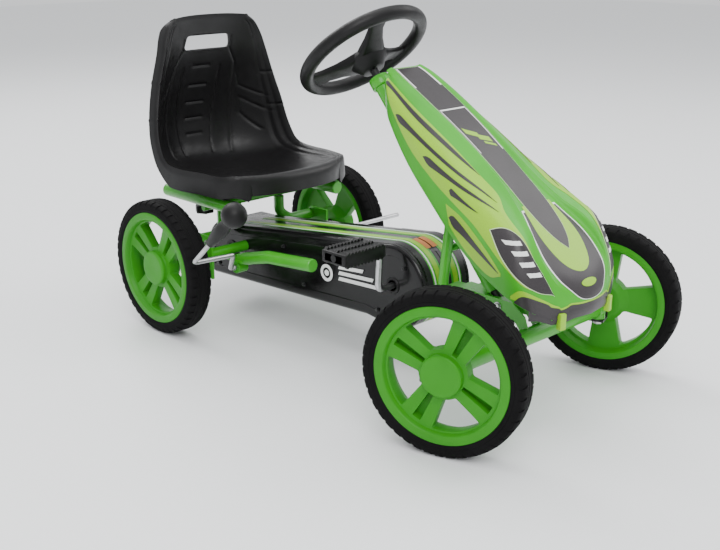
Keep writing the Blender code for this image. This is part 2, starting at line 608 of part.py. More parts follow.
# ---------------------------------------------------------------- seat
def build_seat():
    """The bucket from its top edge down the back and forward along the pan."""
    slide = add_empty("seat_slide", (0, 0.735, RAIL_Z), FIXED)
    offset = Vector((0, -0.735, -RAIL_Z))
    stations = [
        # y, z, half width, how far the side edge stands forward and up
        (0.858, 0.591, 0.088, -0.010, -0.004),
        (0.862, 0.577, 0.106, -0.018, -0.004),
        (0.868, 0.552, 0.118, -0.028, -0.002),
        (0.878, 0.520, 0.127, -0.042, 0.000),
        (0.905, 0.460, 0.145, -0.072, 0.002),
        (0.925, 0.405, 0.159, -0.100, 0.006),
        (REAR_REACH, 0.355, 0.167, -0.116, 0.012),
        (0.922, 0.305, 0.171, -0.122, 0.028),
        (0.890, 0.278, 0.172, -0.106, 0.040),
        (0.830, 0.268, 0.172, -0.066, 0.044),
        (0.760, 0.268, 0.170, -0.030, 0.042),
        (0.690, 0.275, 0.164, -0.010, 0.036),
        (0.625, 0.290, 0.156, 0.004, 0.022),
        (0.585, 0.309, 0.146, 0.014, 0.004),
        (0.568, 0.304, 0.138, 0.022, -0.002),
        (0.566, 0.272, 0.136, 0.024, 0.0),
    ]
    shares = [0.0, 0.22, 0.44, 0.64, 0.82, 0.95, 1.0]
    sections = []
    last = len(stations) - 1
    for index, (y, z, half, forward, up) in enumerate(stations):
        row = []
        down = min(max((index - 5) / 4, 0), 1)
        for share in shares:
            wing = share ** 2.6
            row.append(Vector((half * share, y + forward * wing, z + up * wing)))
        skirt = (0.018 + 0.020 * down) if index < last else 0.001
        row.append(row[-1] + Vector((0.003, skirt * (1 - down), -skirt * down)))
        mirrored = [Vector((-point.x, point.y, point.z)) for point in row[:0:-1]]
        sections.append([tuple(point + offset) for point in mirrored + row])
    middle = len(shares)
    hand_hole = {(2, middle - 2), (2, middle - 1), (2, middle), (2, middle + 1)}
    loft("seat_shell", "black_plastic", slide, sections, 0.0040, hand_hole)
    for label, side in (("left", 1), ("right", -1)):
        block(f"seat_slider_{label}", "black_steel", slide,
              Vector((side * RAIL_X - 0.012, 0.640, 0.2629)) + offset,
              Vector((side * RAIL_X + 0.012, 0.820, 0.2690)) + offset)
    knob_axis = add_empty("seat_knob_axis", Vector((-0.078, 0.792, 0)) + offset, slide)
    build_knob(knob_axis)


def build_knob(axis):
    lobes = []
    for lobe in range(6):
        lobes.append((0.020 * math.cos(math.radians(60 * lobe)), 0.020 * math.sin(math.radians(60 * lobe))))
        lobes.append((0.014 * math.cos(math.radians(60 * lobe + 30)),
                      0.014 * math.sin(math.radians(60 * lobe + 30))))
    knob = as_mesh(plate("seat_knob", "black_plastic", axis, [lobes], 0.016, (0, 0, 0.208)))
    stem = cylinder("seat_knob_stem", None, axis, 0.0050, (0, 0, 0.2100), (0, 0, 0.2620), 12)
    combine(knob, stem, "UNION")


# ---------------------------------------------------------------- brake
def build_brake():
    pivot = add_empty("brake_axis", (0, *BRAKE_PIVOT), FIXED)
    bar_y = BRAKE_BAR[0] - BRAKE_PIVOT[0]
    bar_z = BRAKE_BAR[1] - BRAKE_PIVOT[1]
    ball = Vector((-0.267, 0.443 - BRAKE_PIVOT[0], 0.294 - BRAKE_PIVOT[1]))
    corner = Vector((-0.267, bar_y, bar_z + 0.004))
    grip_start = corner.lerp(ball, 0.42)
    rod("brake_bar", "bright_steel", pivot,
        [(0.2700, bar_y, bar_z - 0.003), (0.1480, bar_y, bar_z - 0.003), (0.1240, 0, 0), (-0.1240, 0, 0),
         (-0.1760, bar_y, bar_z), corner, grip_start], 0.0045, 0.010, 2)
    along = (ball - corner).normalized()
    turn = along.to_track_quat("Z", "Y").to_euler()
    length = (ball - grip_start).length
    knob_radius = 0.0230
    knob = [(knob_radius * math.sin(angle), length + knob_radius * math.cos(angle))
            for angle in (math.radians(160 * step / 9) for step in range(10))]
    grip = knob + [(0.0130, length * 0.45), (0.0085, GAP), (0.0, GAP)]
    turned("brake_grip", "black_plastic", pivot, grip, False, 14, grip_start, turn)


build_front_frame()
build_steering()
build_main_frame()
build_fairing_supports()
build_drive()
build_chain_case()
build_fairing()
build_seat()
build_brake()
bpy.context.view_layer.update()
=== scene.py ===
"""Pedal go kart for children: the finished look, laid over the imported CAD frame.

Lengths are metres. Every piece is drawn from the front axle's centre on the floor and is moved
to its place as its mesh is baked, so each finished object stands unturned at the origin.
"""

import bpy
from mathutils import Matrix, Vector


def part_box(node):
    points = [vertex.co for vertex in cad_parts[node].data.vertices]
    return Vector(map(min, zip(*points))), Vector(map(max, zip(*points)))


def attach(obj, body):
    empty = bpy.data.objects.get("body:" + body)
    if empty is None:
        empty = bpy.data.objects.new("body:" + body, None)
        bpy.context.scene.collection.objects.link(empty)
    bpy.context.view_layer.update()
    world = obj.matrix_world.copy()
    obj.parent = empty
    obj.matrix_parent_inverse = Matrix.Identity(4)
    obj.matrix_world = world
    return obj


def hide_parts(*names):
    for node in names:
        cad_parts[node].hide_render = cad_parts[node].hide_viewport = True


bl_info = {
    "name": "Pedal go kart",
    "version": (1, 0, 0),
    "blender": (4, 5, 0),
    "location": "3D View > Sidebar > Kart",
    "description": "Builds the pieces, finishes and studio of a child's pedal go kart",
    "category": "Object",
}

import math

import bmesh
import bpy
from mathutils import Matrix, Vector

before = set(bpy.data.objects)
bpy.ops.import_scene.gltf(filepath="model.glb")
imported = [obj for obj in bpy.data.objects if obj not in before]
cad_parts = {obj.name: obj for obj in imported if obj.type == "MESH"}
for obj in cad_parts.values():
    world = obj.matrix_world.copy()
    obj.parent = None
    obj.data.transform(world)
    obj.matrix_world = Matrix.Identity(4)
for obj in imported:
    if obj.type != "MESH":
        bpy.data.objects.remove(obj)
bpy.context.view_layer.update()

# ---------------------------------------------------------------- driving dimensions
AXLE_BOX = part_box("front_axle_beam")
KART = Matrix.Translation((0, (AXLE_BOX[0][1] + AXLE_BOX[1][1]) / 2, 0))
WHEELBASE = 0.7245
WHEEL_X = 0.2325
TYRE_RADIUS = 0.1323
KINGPIN_X = 0.190
STEER_REST = math.radians(18.6)
COLUMN_REST = STEER_REST / 0.6364
COLUMN_SLOPE = math.radians(49.5)
COLLAR = Vector((0, 0.358, 0.506))
CRANK = Vector((0, 0.262, 0.163))
CRANK_LENGTH = 0.082
BRAKE = Vector((0, 0.650, 0.120))
SIDES = (("left", 1), ("right", -1))

COLUMN = KART @ Matrix.Translation(COLLAR) @ Matrix.Rotation(COLUMN_SLOPE - math.pi / 2, 4, "X")
COLUMN_TURNED = COLUMN @ Matrix.Rotation(COLUMN_REST, 4, "Z")


def knuckle_place(side):
    return KART @ Matrix.Translation((side * KINGPIN_X, 0, 0)) @ Matrix.Rotation(STEER_REST, 4, "Z")


def wheel_place(end, side):
    """The wheel's own axes: Z points outwards along its axle."""
    if end == "front":
        hub = knuckle_place(side) @ Matrix.Translation((side * (WHEEL_X - KINGPIN_X), 0, TYRE_RADIUS))
    else:
        hub = KART @ Matrix.Translation((side * WHEEL_X, WHEELBASE, TYRE_RADIUS))
    return hub @ Matrix.Rotation(side * math.pi / 2, 4, "Y")


# ---------------------------------------------------------------- mesh work shared by the pieces
def arc(radius, start, end, steps, centre=(0, 0)):
    """Points on an arc with both ends, angles in degrees."""
    angles = [math.radians(start + (end - start) * i / steps) for i in range(steps + 1)]
    return [(centre[0] + radius * math.cos(a), centre[1] + radius * math.sin(a)) for a in angles]


def rounded(points, radius, steps=5, closed=False):
    """Replace each corner of a route by a smooth bend."""
    points = [Vector(point) for point in points]
    count = len(points)
    route = [] if closed else [points[0]]
    for index in range(count) if closed else range(1, count - 1):
        before, corner, after = points[index - 1], points[index], points[(index + 1) % count]
        into = before - corner
        out = after - corner
        half_angle = into.angle(out) / 2
        reach = min(radius / math.tan(half_angle), into.length * 0.48, out.length * 0.48)
        start = corner + into.normalized() * reach
        end = corner + out.normalized() * reach
        for step in range(steps + 1):
            t = step / steps
            route.append(start * (1 - t) ** 2 + corner * 2 * t * (1 - t) + end * t ** 2)
    if not closed:
        route.append(points[-1])
    return route


def smooth_value(values, at):
    """The Catmull-Rom value of a row of numbers or vectors at a fractional index."""
    last = len(values) - 1
    at = min(max(at, 0.0), float(last))
    base = min(int(at), last - 1)
    t = at - base
    b, c = values[base], values[base + 1]
    a = values[base - 1] if base > 0 else b * 2 - c
    d = values[base + 2] if base + 2 <= last else c * 2 - b
    return (b * 2 + (c - a) * t + (a * 2 - b * 5 + c * 4 - d) * t ** 2
            + (b * 3 - a - c * 3 + d) * t ** 3) * 0.5


def turned(profile, segments=96, closed=False):
    """Turn a profile of (radius, height) points about Z; points on the axis become poles."""
    solid = bmesh.new()
    rings = []
    for radius, height in profile:
        if radius < 1e-6:
            rings.append([solid.verts.new((0, 0, height))] * segments)
            continue
        rings.append([solid.verts.new((radius * math.cos(math.tau * i / segments),
                                       radius * math.sin(math.tau * i / segments), height))
                      for i in range(segments)])
    pairs = list(zip(rings, rings[1:]))
    if closed:
        pairs.append((rings[-1], rings[0]))
    for one, two in pairs:
        for i in range(segments):
            j = (i + 1) % segments
            corners = list(dict.fromkeys((one[i], one[j], two[j], two[i])))
            if len(corners) > 2:
                solid.faces.new(corners)
    bmesh.ops.recalc_face_normals(solid, faces=solid.faces)
    return solid


def from_object(thing):
    """The evaluated shape of a temporary object as a welded bmesh; the object goes."""
    bpy.context.scene.collection.objects.link(thing)
    bpy.context.view_layer.update()
    mesh = bpy.data.meshes.new_from_object(thing.evaluated_get(bpy.context.evaluated_depsgraph_get()))
    solid = bmesh.new()
    solid.from_mesh(mesh)
    bpy.data.meshes.remove(mesh)
    bpy.data.objects.remove(thing, do_unlink=True)
    bmesh.ops.remove_doubles(solid, verts=solid.verts, dist=0.000005)
    bmesh.ops.recalc_face_normals(solid, faces=solid.faces)
    return solid


def temporary(solid):
    """A throwaway object for modifiers."""
    mesh = bpy.data.meshes.new("shape")
    solid.to_mesh(mesh)
    solid.free()
    return bpy.data.objects.new("shape", mesh)


def tube(points, radius, corner=0.02, ring=4):
    """A bent round bar with closed, slightly rounded ends."""
    route = rounded(points, corner) if corner else [Vector(point) for point in points]
    curve = bpy.data.curves.new("route", "CURVE")
    curve.dimensions = "3D"
    curve.bevel_depth = radius
    curve.bevel_resolution = ring
    curve.use_fill_caps = True
    first = (route[0] - route[1]).normalized() * radius * 0.12
    final = (route[-1] - route[-2]).normalized() * radius * 0.12
    stops = [(route[0], 0.88), (route[0] - first, 1.0), *((point, 1.0) for point in route[1:-1]),
             (route[-1] - final, 1.0), (route[-1], 0.88)]
    spline = curve.splines.new("POLY")
    spline.points.add(len(stops) - 1)
    for control, (point, size) in zip(spline.points, stops):
        control.co = (*point, 1)
        control.radius = size
    return from_object(bpy.data.objects.new("route", curve))


def plate(outlines, thickness, edge=0.0006):
    """A flat plate centred on its own XY plane, with rounded edges that keep its outline."""
    curve = bpy.data.curves.new("outline", "CURVE")
    curve.dimensions = "2D"
    curve.fill_mode = "BOTH"
    curve.extrude = thickness / 2 - edge
    curve.bevel_depth = edge
    curve.bevel_resolution = 2
    curve.offset = -edge
    for outline in outlines:
        spline = curve.splines.new("POLY")
        spline.points.add(len(outline) - 1)
        spline.use_cyclic_u = True
        for control, point in zip(spline.points, outline):
            control.co = (point[0], point[1], 0, 1)
    return from_object(bpy.data.objects.new("outline", curve))


def block(low, high, edge=0.001, segments=2):
    """A box between two corners with rounded edges."""
    low, high = Vector(low), Vector(high)
    solid = bmesh.new()
    bmesh.ops.create_cube(solid, size=1)
    for vertex in solid.verts:
        vertex.co = (low + high) / 2 + Vector(a * b for a, b in zip(vertex.co, high - low))
    bmesh.ops.bevel(solid, geom=list(solid.edges), offset=edge, segments=segments, profile=0.5,
                    affect="EDGES")
    return solid


def hexagon(radius):
    return arc(radius, 0, 300, 5)


def ball(radius, centre, segments=48, squash=1.0):
    steps = segments // 2
    solid = turned([(radius * math.sin(math.pi * i / steps), radius * squash * math.cos(math.pi * i / steps))
                    for i in range(steps + 1)], segments)
    solid.transform(Matrix.Translation(centre))
    return solid


def moved(solid, matrix):
    solid.transform(matrix)
    return solid


def along(start, end):
    """A matrix that puts Z on the line from start to end, with its origin at start."""
    start, end = Vector(start), Vector(end)
    return Matrix.Translation(start) @ (end - start).to_track_quat("Z", "Y").to_matrix().to_4x4()


def across(x=0.0):
    """Turns a drawing in (y, z) so that its thickness runs along X."""
    return Matrix.Translation((x, 0, 0)) @ Matrix(((0, 0, 1, 0), (1, 0, 0, 0), (0, 1, 0, 0), (0, 0, 0, 1)))


def lofted(loops):
    """A closed solid over loops of points, each with the same count, capped at both ends."""
    solid = bmesh.new()
    rings = [[solid.verts.new(point) for point in loop] for loop in loops]
    for one, two in zip(rings, rings[1:]):
        for i in range(len(one)):
            j = (i + 1) % len(one)
            solid.faces.new((one[i], two[i], two[j], one[j]))
    solid.faces.new(rings[0])
    solid.faces.new(rings[-1])
    bmesh.ops.recalc_face_normals(solid, faces=solid.faces)
    return solid


def joined(*solids):
    """Several shapes as one mesh."""
    whole = bmesh.new()
    for solid in solids:
        mesh = bpy.data.meshes.new("joined")
        solid.to_mesh(mesh)
        solid.free()
        whole.from_mesh(mesh)
        bpy.data.meshes.remove(mesh)
    return whole


def cut(solid, cutter, operation="DIFFERENCE"):
    """One EXACT Boolean."""
    other = temporary(cutter)
    bpy.context.scene.collection.objects.link(other)
    thing = temporary(solid)
    step = thing.modifiers.new("cut", "BOOLEAN")
    step.operation = operation
    step.object = other
    step.solver = "EXACT"
    result = from_object(thing)
    bpy.data.objects.remove(other, do_unlink=True)
    return result


def add_piece(name, solid, place, look, body, covers=(), crease=32):
    """Bake a shape into an object at the origin, give it its finish and tie it to its body."""
    solid.transform(place)
    mesh = bpy.data.meshes.new(name)
    solid.to_mesh(mesh)
    solid.free()
    mesh.materials.clear()
    mesh.materials.append(finish(look))
    mesh.shade_smooth()
    mesh.set_sharp_from_angle(angle=math.radians(crease))
    piece = bpy.data.objects.new(name, mesh)
    bpy.context.scene.collection.objects.link(piece)
    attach(piece, body)
    if covers:
        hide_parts(*covers)
    return piece


def dress(look, *nodes):
    """Give CAD nodes that keep their shape a better material."""
    for node in nodes:
        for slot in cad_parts[node].material_slots:
            slot.material = finish(look)


# ---------------------------------------------------------------- nodes
def add_node(tree, kind, label, inputs=None, **settings):
    """One labelled node; inputs sets its sockets' own values and settings its properties."""
    node = tree.nodes.new(kind)
    node.label = label
    for socket, value in (inputs or {}).items():
        node.inputs[socket].default_value = value
    for setting, value in settings.items():
        setattr(node, setting, value)
    return node


def add_ramp(tree, label, colour, *stops):
    """A colour ramp with its two stops as (position, share of the colour)."""
    node = add_node(tree, "ShaderNodeValToRGB", label)
    for element, (position, share) in zip(node.color_ramp.elements, stops):
        element.position = position
        element.color = (*(part * share for part in colour), 1)
    return node


def wire(tree, *links):
    """Links written as (from node, its output, to node, its input)."""
    for start, output, end, socket in links:
        tree.links.new(start.outputs[output], end.inputs[socket])


# ---------------------------------------------------------------- repeated shapes
def copy_tree(name, step_kind, count, step, copies_at):
    """A tree that copies its mesh and paints the copies; the caller says where each copy goes."""
    tree = bpy.data.node_groups.new(name, "GeometryNodeTree")
    tree.interface.new_socket("Geometry", in_out="INPUT", socket_type="NodeSocketGeometry")
    count_socket = tree.interface.new_socket("Count", in_out="INPUT", socket_type="NodeSocketInt")
    count_socket.default_value = count
    step_socket = tree.interface.new_socket("Step", in_out="INPUT", socket_type=step_kind)
    step_socket.default_value = step
    tree.interface.new_socket("Finish", in_out="INPUT", socket_type="NodeSocketMaterial")
    tree.interface.new_socket("Geometry", in_out="OUTPUT", socket_type="NodeSocketGeometry")
    entry = add_node(tree, "NodeGroupInput", "shape and settings", location=(-800, 0))
    leave = add_node(tree, "NodeGroupOutput", "all copies", location=(800, 0))
    index = add_node(tree, "GeometryNodeInputIndex", "copy number", location=(-700, -250))
    points = add_node(tree, "GeometryNodePoints", "one point for each copy", location=(-270, 200))
    copies = add_node(tree, "GeometryNodeInstanceOnPoints", "place the copies", location=copies_at)
    real = add_node(tree, "GeometryNodeRealizeInstances", "plain mesh", location=(250, 100))
    paint = add_node(tree, "GeometryNodeSetMaterial", "finish of the copies", location=(500, 100))
    wire(tree, (entry, "Count", points, "Count"), (points, 0, copies, "Points"),
         (entry, "Geometry", copies, "Instance"), (copies, 0, real, 0), (real, 0, paint, "Geometry"),
         (entry, "Finish", paint, "Material"), (paint, 0, leave, 0))
    return tree, entry, index, points, copies, step_socket


def ring_tree():
    """Copies of the incoming mesh, turned about Z by equal steps."""
    name = "copies_round_an_axle"
    if name not in bpy.data.node_groups:
        tree, entry, index, _, copies, step = copy_tree(name, "NodeSocketFloat", 44, math.tau / 44,
                                                        (-50, 100))
        step.subtype = "ANGLE"
        angle = add_node(tree, "ShaderNodeMath", "turn of this copy", operation="MULTIPLY",
                         location=(-500, -200))
        turn = add_node(tree, "ShaderNodeCombineXYZ", "turn about the axle", location=(-300, -200))
        wire(tree, (index, 0, angle, 0), (entry, "Step", angle, 1), (angle, 0, turn, "Z"),
             (turn, 0, copies, "Rotation"))
    return bpy.data.node_groups[name]


def row_tree():
    """Copies of the incoming mesh, moved on by an equal step each."""
    name = "copies_in_a_row"
    if name not in bpy.data.node_groups:
        tree, entry, index, points, _, _ = copy_tree(name, "NodeSocketVector", 8, (0.01, 0, 0), (0, 100))
        shift = add_node(tree, "ShaderNodeVectorMath", "how far this copy moves on", operation="SCALE",
                         location=(-500, -100))
        wire(tree, (entry, "Step", shift, 0), (index, 0, shift, "Scale"), (shift, 0, points, "Position"))
    return bpy.data.node_groups[name]


def repeated(solid, tree, settings):
    """Run a shape through one of the trees above and take the result as a bmesh."""
    thing = temporary(solid)
    step = thing.modifiers.new("copies", "NODES")
    step.node_group = tree
    sockets = {item.name: item.identifier for item in tree.interface.items_tree
               if item.item_type == "SOCKET" and item.in_out == "INPUT"}
    for name, value in settings.items():
        step[sockets[name]] = value
    return from_object(thing)


# ---------------------------------------------------------------- finishes
def laid_out(tree, frames):
    """Spread each group of nodes in its own frame, one row a group."""
    for row, (label, nodes) in enumerate(frames):
        border = tree.nodes.new("NodeFrame")
        border.label = label
        for column, node in enumerate(nodes):
            node.location = (column * 220 - 1400, 500 - row * 380)
            node.parent = border


def new_finish(name, part_label, shader_label, inputs=None):
    """A material with its output, its shader and the position its patterns read."""
    material = bpy.data.materials.new(name)
    material.use_nodes = True
    tree = material.node_tree
    tree.nodes.clear()
    output = add_node(tree, "ShaderNodeOutputMaterial", part_label, location=(600, 0))
    shader = add_node(tree, "ShaderNodeBsdfPrincipled", shader_label, inputs, location=(300, 0))
    place = add_node(tree, "ShaderNodeTexCoord", "position on the piece")
    wire(tree, (shader, "BSDF", output, "Surface"))
    return tree, shader, place


def powder_paint(name, colour, roughness):
    """Baked powder coat on steel tube: orange peel, thin and thick places, handled and dusty patches in the
    gloss.
    """
    tree, shader, place = new_finish(name, "painted steel", "powder coat",
                                     {"Coat Weight": 0.2, "Coat Roughness": 0.12,
                                      "Specular IOR Level": 0.35})
    clouds = add_node(tree, "ShaderNodeTexNoise", "thick and thin coat", {"Scale": 14.0, "Detail": 3.0})
    tone = add_ramp(tree, "coat colour", colour, (0.35, 0.86), (0.65, 1.0))
    gloss_clouds = add_node(tree, "ShaderNodeTexNoise", "handled and dusty patches", {"Scale": 38.0})
    gloss = add_node(tree, "ShaderNodeMapRange", "coat gloss",
                     {"To Min": roughness - 0.07, "To Max": roughness + 0.10})
    peel = add_node(tree, "ShaderNodeTexNoise", "orange peel", {"Scale": 420.0, "Detail": 1.5})
    relief = add_node(tree, "ShaderNodeBump", "peel relief", {"Strength": 0.22, "Distance": 0.0004})
    wire(tree, (place, "Object", clouds, "Vector"), (clouds, "Fac", tone, "Fac"),
         (tone, "Color", shader, "Base Color"), (place, "Object", gloss_clouds, "Vector"),
         (gloss_clouds, "Fac", gloss, "Value"), (gloss, "Result", shader, "Roughness"),
         (place, "Object", peel, "Vector"), (peel, "Fac", relief, "Height"),
         (relief, "Normal", shader, "Normal"))
    laid_out(tree, [("colour", [place, clouds, tone]), ("gloss", [gloss_clouds, gloss]),
                    ("surface", [peel, relief])])


def moulded_plastic(name, colour, roughness, grain_scale, grain_depth, mottle=0.12, coat=0.0, shine=0.5):
    """Injection moulded plastic: spark-eroded grain, flow clouds in the colour, scuffed gloss."""
    tree, shader, place = new_finish(name, "moulded part", "plastic",
                                     {"IOR": 1.47, "Specular IOR Level": shine, "Coat Weight": coat,
                                      "Coat Roughness": 0.08})
    flow = add_node(tree, "ShaderNodeTexNoise", "flow of the melt",
                    {"Scale": 9.0, "Detail": 4.0, "Distortion": 0.6})
    tone = add_ramp(tree, "plastic colour", colour, (0.3, 1 - mottle), (0.7, 1 + mottle * 0.4))
    scuffs = add_node(tree, "ShaderNodeTexNoise", "scuffs from hands and shoes",
                      {"Scale": 55.0, "Detail": 5.0})
    gloss = add_node(tree, "ShaderNodeMapRange", "gloss of the grain",
                     {"From Min": 0.3, "From Max": 0.7, "To Min": max(roughness - 0.06, 0.02),
                      "To Max": roughness + 0.09})
    grain = add_node(tree, "ShaderNodeTexVoronoi", "mould grain", {"Scale": grain_scale})
    fine = add_node(tree, "ShaderNodeTexNoise", "fine tooth", {"Scale": grain_scale * 1.7, "Detail": 2.0})
    mixed = add_node(tree, "ShaderNodeMath", "grain with tooth", {1: 0.6}, operation="MULTIPLY_ADD")
    relief = add_node(tree, "ShaderNodeBump", "grain relief", {"Strength": 0.5, "Distance": grain_depth})
    wire(tree, (place, "Object", flow, "Vector"), (flow, "Fac", tone, "Fac"),
         (tone, "Color", shader, "Base Color"), (place, "Object", scuffs, "Vector"),
         (scuffs, "Fac", gloss, "Value"), (gloss, "Result", shader, "Roughness"),
         (place, "Object", grain, "Vector"), (place, "Object", fine, "Vector"),
         (grain, "Distance", mixed, 0), (fine, "Fac", mixed, 2), (mixed, "Value", relief, "Height"),
         (relief, "Normal", shader, "Normal"))
    laid_out(tree, [("colour", [place, flow, tone]), ("gloss", [scuffs, gloss]),
                    ("grain", [grain, fine, mixed, relief])])


def tyre_foam(name, colour):
    """Moulded foam tyre: closed skin with pinholes, lighter and duller dusty patches."""
    tree, shader, place = new_finish(name, "tyre", "foam skin", {"Specular IOR Level": 0.07})
    cells = add_node(tree, "ShaderNodeTexVoronoi", "foam cells", {"Scale": 620.0})
    pinholes = add_node(tree, "ShaderNodeMapRange", "open pinholes", {"From Min": 0.0, "From Max": 0.28})
    clouds = add_node(tree, "ShaderNodeTexNoise", "dust and bloom",
                      {"Scale": 22.0, "Detail": 6.0, "Roughness": 0.65})
    tone = add_ramp(tree, "foam colour", colour, (0.38, 1.0), (0.80, 2.0))
    gloss = add_node(tree, "ShaderNodeMapRange", "polished and dull skin", {"To Min": 0.42, "To Max": 0.95})
    relief = add_node(tree, "ShaderNodeBump", "cell relief", {"Strength": 0.35, "Distance": 0.0005})
    wire(tree, (place, "Object", clouds, "Vector"), (clouds, "Fac", tone, "Fac"),
         (tone, "Color", shader, "Base Color"), (clouds, "Fac", gloss, "Value"),
         (gloss, "Result", shader, "Roughness"), (place, "Object", cells, "Vector"),
         (cells, "Distance", pinholes, "Value"), (pinholes, "Result", relief, "Height"),
         (relief, "Normal", shader, "Normal"))
    laid_out(tree, [("colour and gloss", [place, clouds, tone, gloss]),
                    ("cells", [cells, pinholes, relief])])


def worked_steel(name, colour, roughness, grime):
    """Drawn or plated steel: fine draw lines, and dull spots darkened by grime."""
    tree, shader, place = new_finish(name, "steel part", "steel", {"Metallic": 1.0})
    spots = add_node(tree, "ShaderNodeTexNoise", "dull spots", {"Scale": 90.0, "Detail": 6.0})
    tone = add_ramp(tree, "plating colour", colour, (0.30, 1 - grime), (0.55, 1.0))
    gloss = add_node(tree, "ShaderNodeMapRange", "bright and dull plating",
                     {"To Min": roughness + 0.14, "To Max": roughness - 0.05})
    stretch = add_node(tree, "ShaderNodeMapping", "draw lines run across the kart",
                       {"Scale": (20.0, 900.0, 900.0)})
    lines = add_node(tree, "ShaderNodeTexNoise", "draw lines", {"Scale": 1.0, "Detail": 3.0})
    relief = add_node(tree, "ShaderNodeBump", "line relief", {"Strength": 0.12, "Distance": 0.0002})
    wire(tree, (place, "Object", spots, "Vector"), (spots, "Fac", tone, "Fac"),
         (tone, "Color", shader, "Base Color"), (spots, "Fac", gloss, "Value"),
         (gloss, "Result", shader, "Roughness"), (place, "Object", stretch, "Vector"),
         (stretch, "Vector", lines, "Vector"), (lines, "Fac", relief, "Height"),
         (relief, "Normal", shader, "Normal"))
    laid_out(tree, [("colour and gloss", [place, spots, tone, gloss]),
                    ("draw lines", [stretch, lines, relief])])


def printed_film(name, colour, speckle):
    """Printed sticker film: a faint print screen in the ink under a satin laminate."""
    tree, shader, place = new_finish(name, "sticker", "ink under laminate",
                                     {"Coat Weight": 0.12, "Coat Roughness": 0.2,
                                      "Specular IOR Level": 0.28})
    screen = add_node(tree, "ShaderNodeTexVoronoi", "print screen", {"Scale": 700.0})
    dots = add_ramp(tree, "ink dots", colour, (0.2, 1 - speckle), (0.6, 1.0))
    waves = add_node(tree, "ShaderNodeTexNoise", "film laid by hand", {"Scale": 30.0})
    gloss = add_node(tree, "ShaderNodeMapRange", "laminate gloss", {"To Min": 0.30, "To Max": 0.44})
    relief = add_node(tree, "ShaderNodeBump", "film waves", {"Strength": 0.15, "Distance": 0.0006})
    wire(tree, (place, "Object", screen, "Vector"), (screen, "Distance", dots, "Fac"),
         (dots, "Color", shader, "Base Color"), (place, "Object", waves, "Vector"),
         (waves, "Fac", gloss, "Value"), (gloss, "Result", shader, "Roughness"),
         (waves, "Fac", relief, "Height"), (relief, "Normal", shader, "Normal"))
    laid_out(tree, [("ink", [place, screen, dots]), ("laminate", [waves, gloss, relief])])


def studio_floor(name, colour):
    """Seamless studio paper."""
    tree, shader, place = new_finish(name, "floor", "coated paper", {"Roughness": 0.45})
    fibres = add_node(tree, "ShaderNodeTexNoise", "paper fibres", {"Scale": 60.0})
    tone = add_ramp(tree, "paper colour", colour, (0.0, 0.985), (1.0, 1.0))
    wire(tree, (place, "Object", fibres, "Vector"), (fibres, "Fac", tone, "Fac"),
         (tone, "Color", shader, "Base Color"))
    laid_out(tree, [("paper", [place, fibres, tone])])


# ---------------------------------------------------------------- what a user may change
def colour_setting(name, description, default):
    return bpy.props.FloatVectorProperty(name=name, description=description, subtype="COLOR", size=3, min=0,
                                         max=1, default=default)


def length_setting(name, description, default, low, high):
    return bpy.props.FloatProperty(name=name, description=description, default=default, min=low, max=high,
                                   unit="LENGTH")


class KartColours(bpy.types.PropertyGroup):
    green: colour_setting("Green", "Frame paint and green plastic", (0.050, 0.400, 0.016))
    lime: colour_setting("Lime", "Pale green of the stickers", (0.300, 0.580, 0.018))
    grey: colour_setting("Grey", "Dark grey of the stickers", (0.040, 0.035, 0.038))
    white: colour_setting("White", "White of the stickers", (0.86, 0.87, 0.85))
    orange: colour_setting("Orange", "Patch on the chain case", (0.60, 0.19, 0.04))
    black: colour_setting("Black", "Seat, wheel and chain case plastic", (0.0075, 0.0072, 0.0076))


class KartWheels(bpy.types.PropertyGroup):
    lugs: bpy.props.IntProperty(name="Lugs", description="Tread lugs round each shoulder of a tyre",
                                default=44, min=12, max=80)
    lug_gap: length_setting("Lug gap", "Opening between two lugs", 0.0034, 0.001, 0.01)
    steps: bpy.props.IntProperty(name="Steps", description="Facets round a wheel", default=96, min=32,
                                 max=192)


class KartSeat(bpy.types.PropertyGroup):
    wall: length_setting("Wall", "Thickness of the seat shell", 0.0040, 0.002, 0.006)
    groove_depth: length_setting("Groove depth", "Depth of the moulded lines", 0.0018, 0.0, 0.003)


class KartFairing(bpy.types.PropertyGroup):
    film: length_setting("Film", "How far the stickers stand off the fairing", 0.00035, 0.0001, 0.001)
    wall: length_setting("Wall", "Thickness of the fairing", 0.0032, 0.002, 0.006)


class KartStudio(bpy.types.PropertyGroup):
    lens: bpy.props.FloatProperty(name="Lens", description="Focal length of the studio camera in mm",
                                  default=53.715, min=20, max=200)
    azimuth: bpy.props.FloatProperty(name="Azimuth", description="Where the camera stands round the kart",
                                     default=math.radians(-44.0772), subtype="ANGLE")
    elevation: bpy.props.FloatProperty(name="Elevation", description="How far the camera looks down",
                                       default=math.radians(18.0101), subtype="ANGLE")
    floor: colour_setting("Floor", "Studio paper", (0.90, 0.91, 0.92))


def finish(name):
    """One of the finishes that the first operator makes."""
    return bpy.data.materials[f"kart_{name}"]


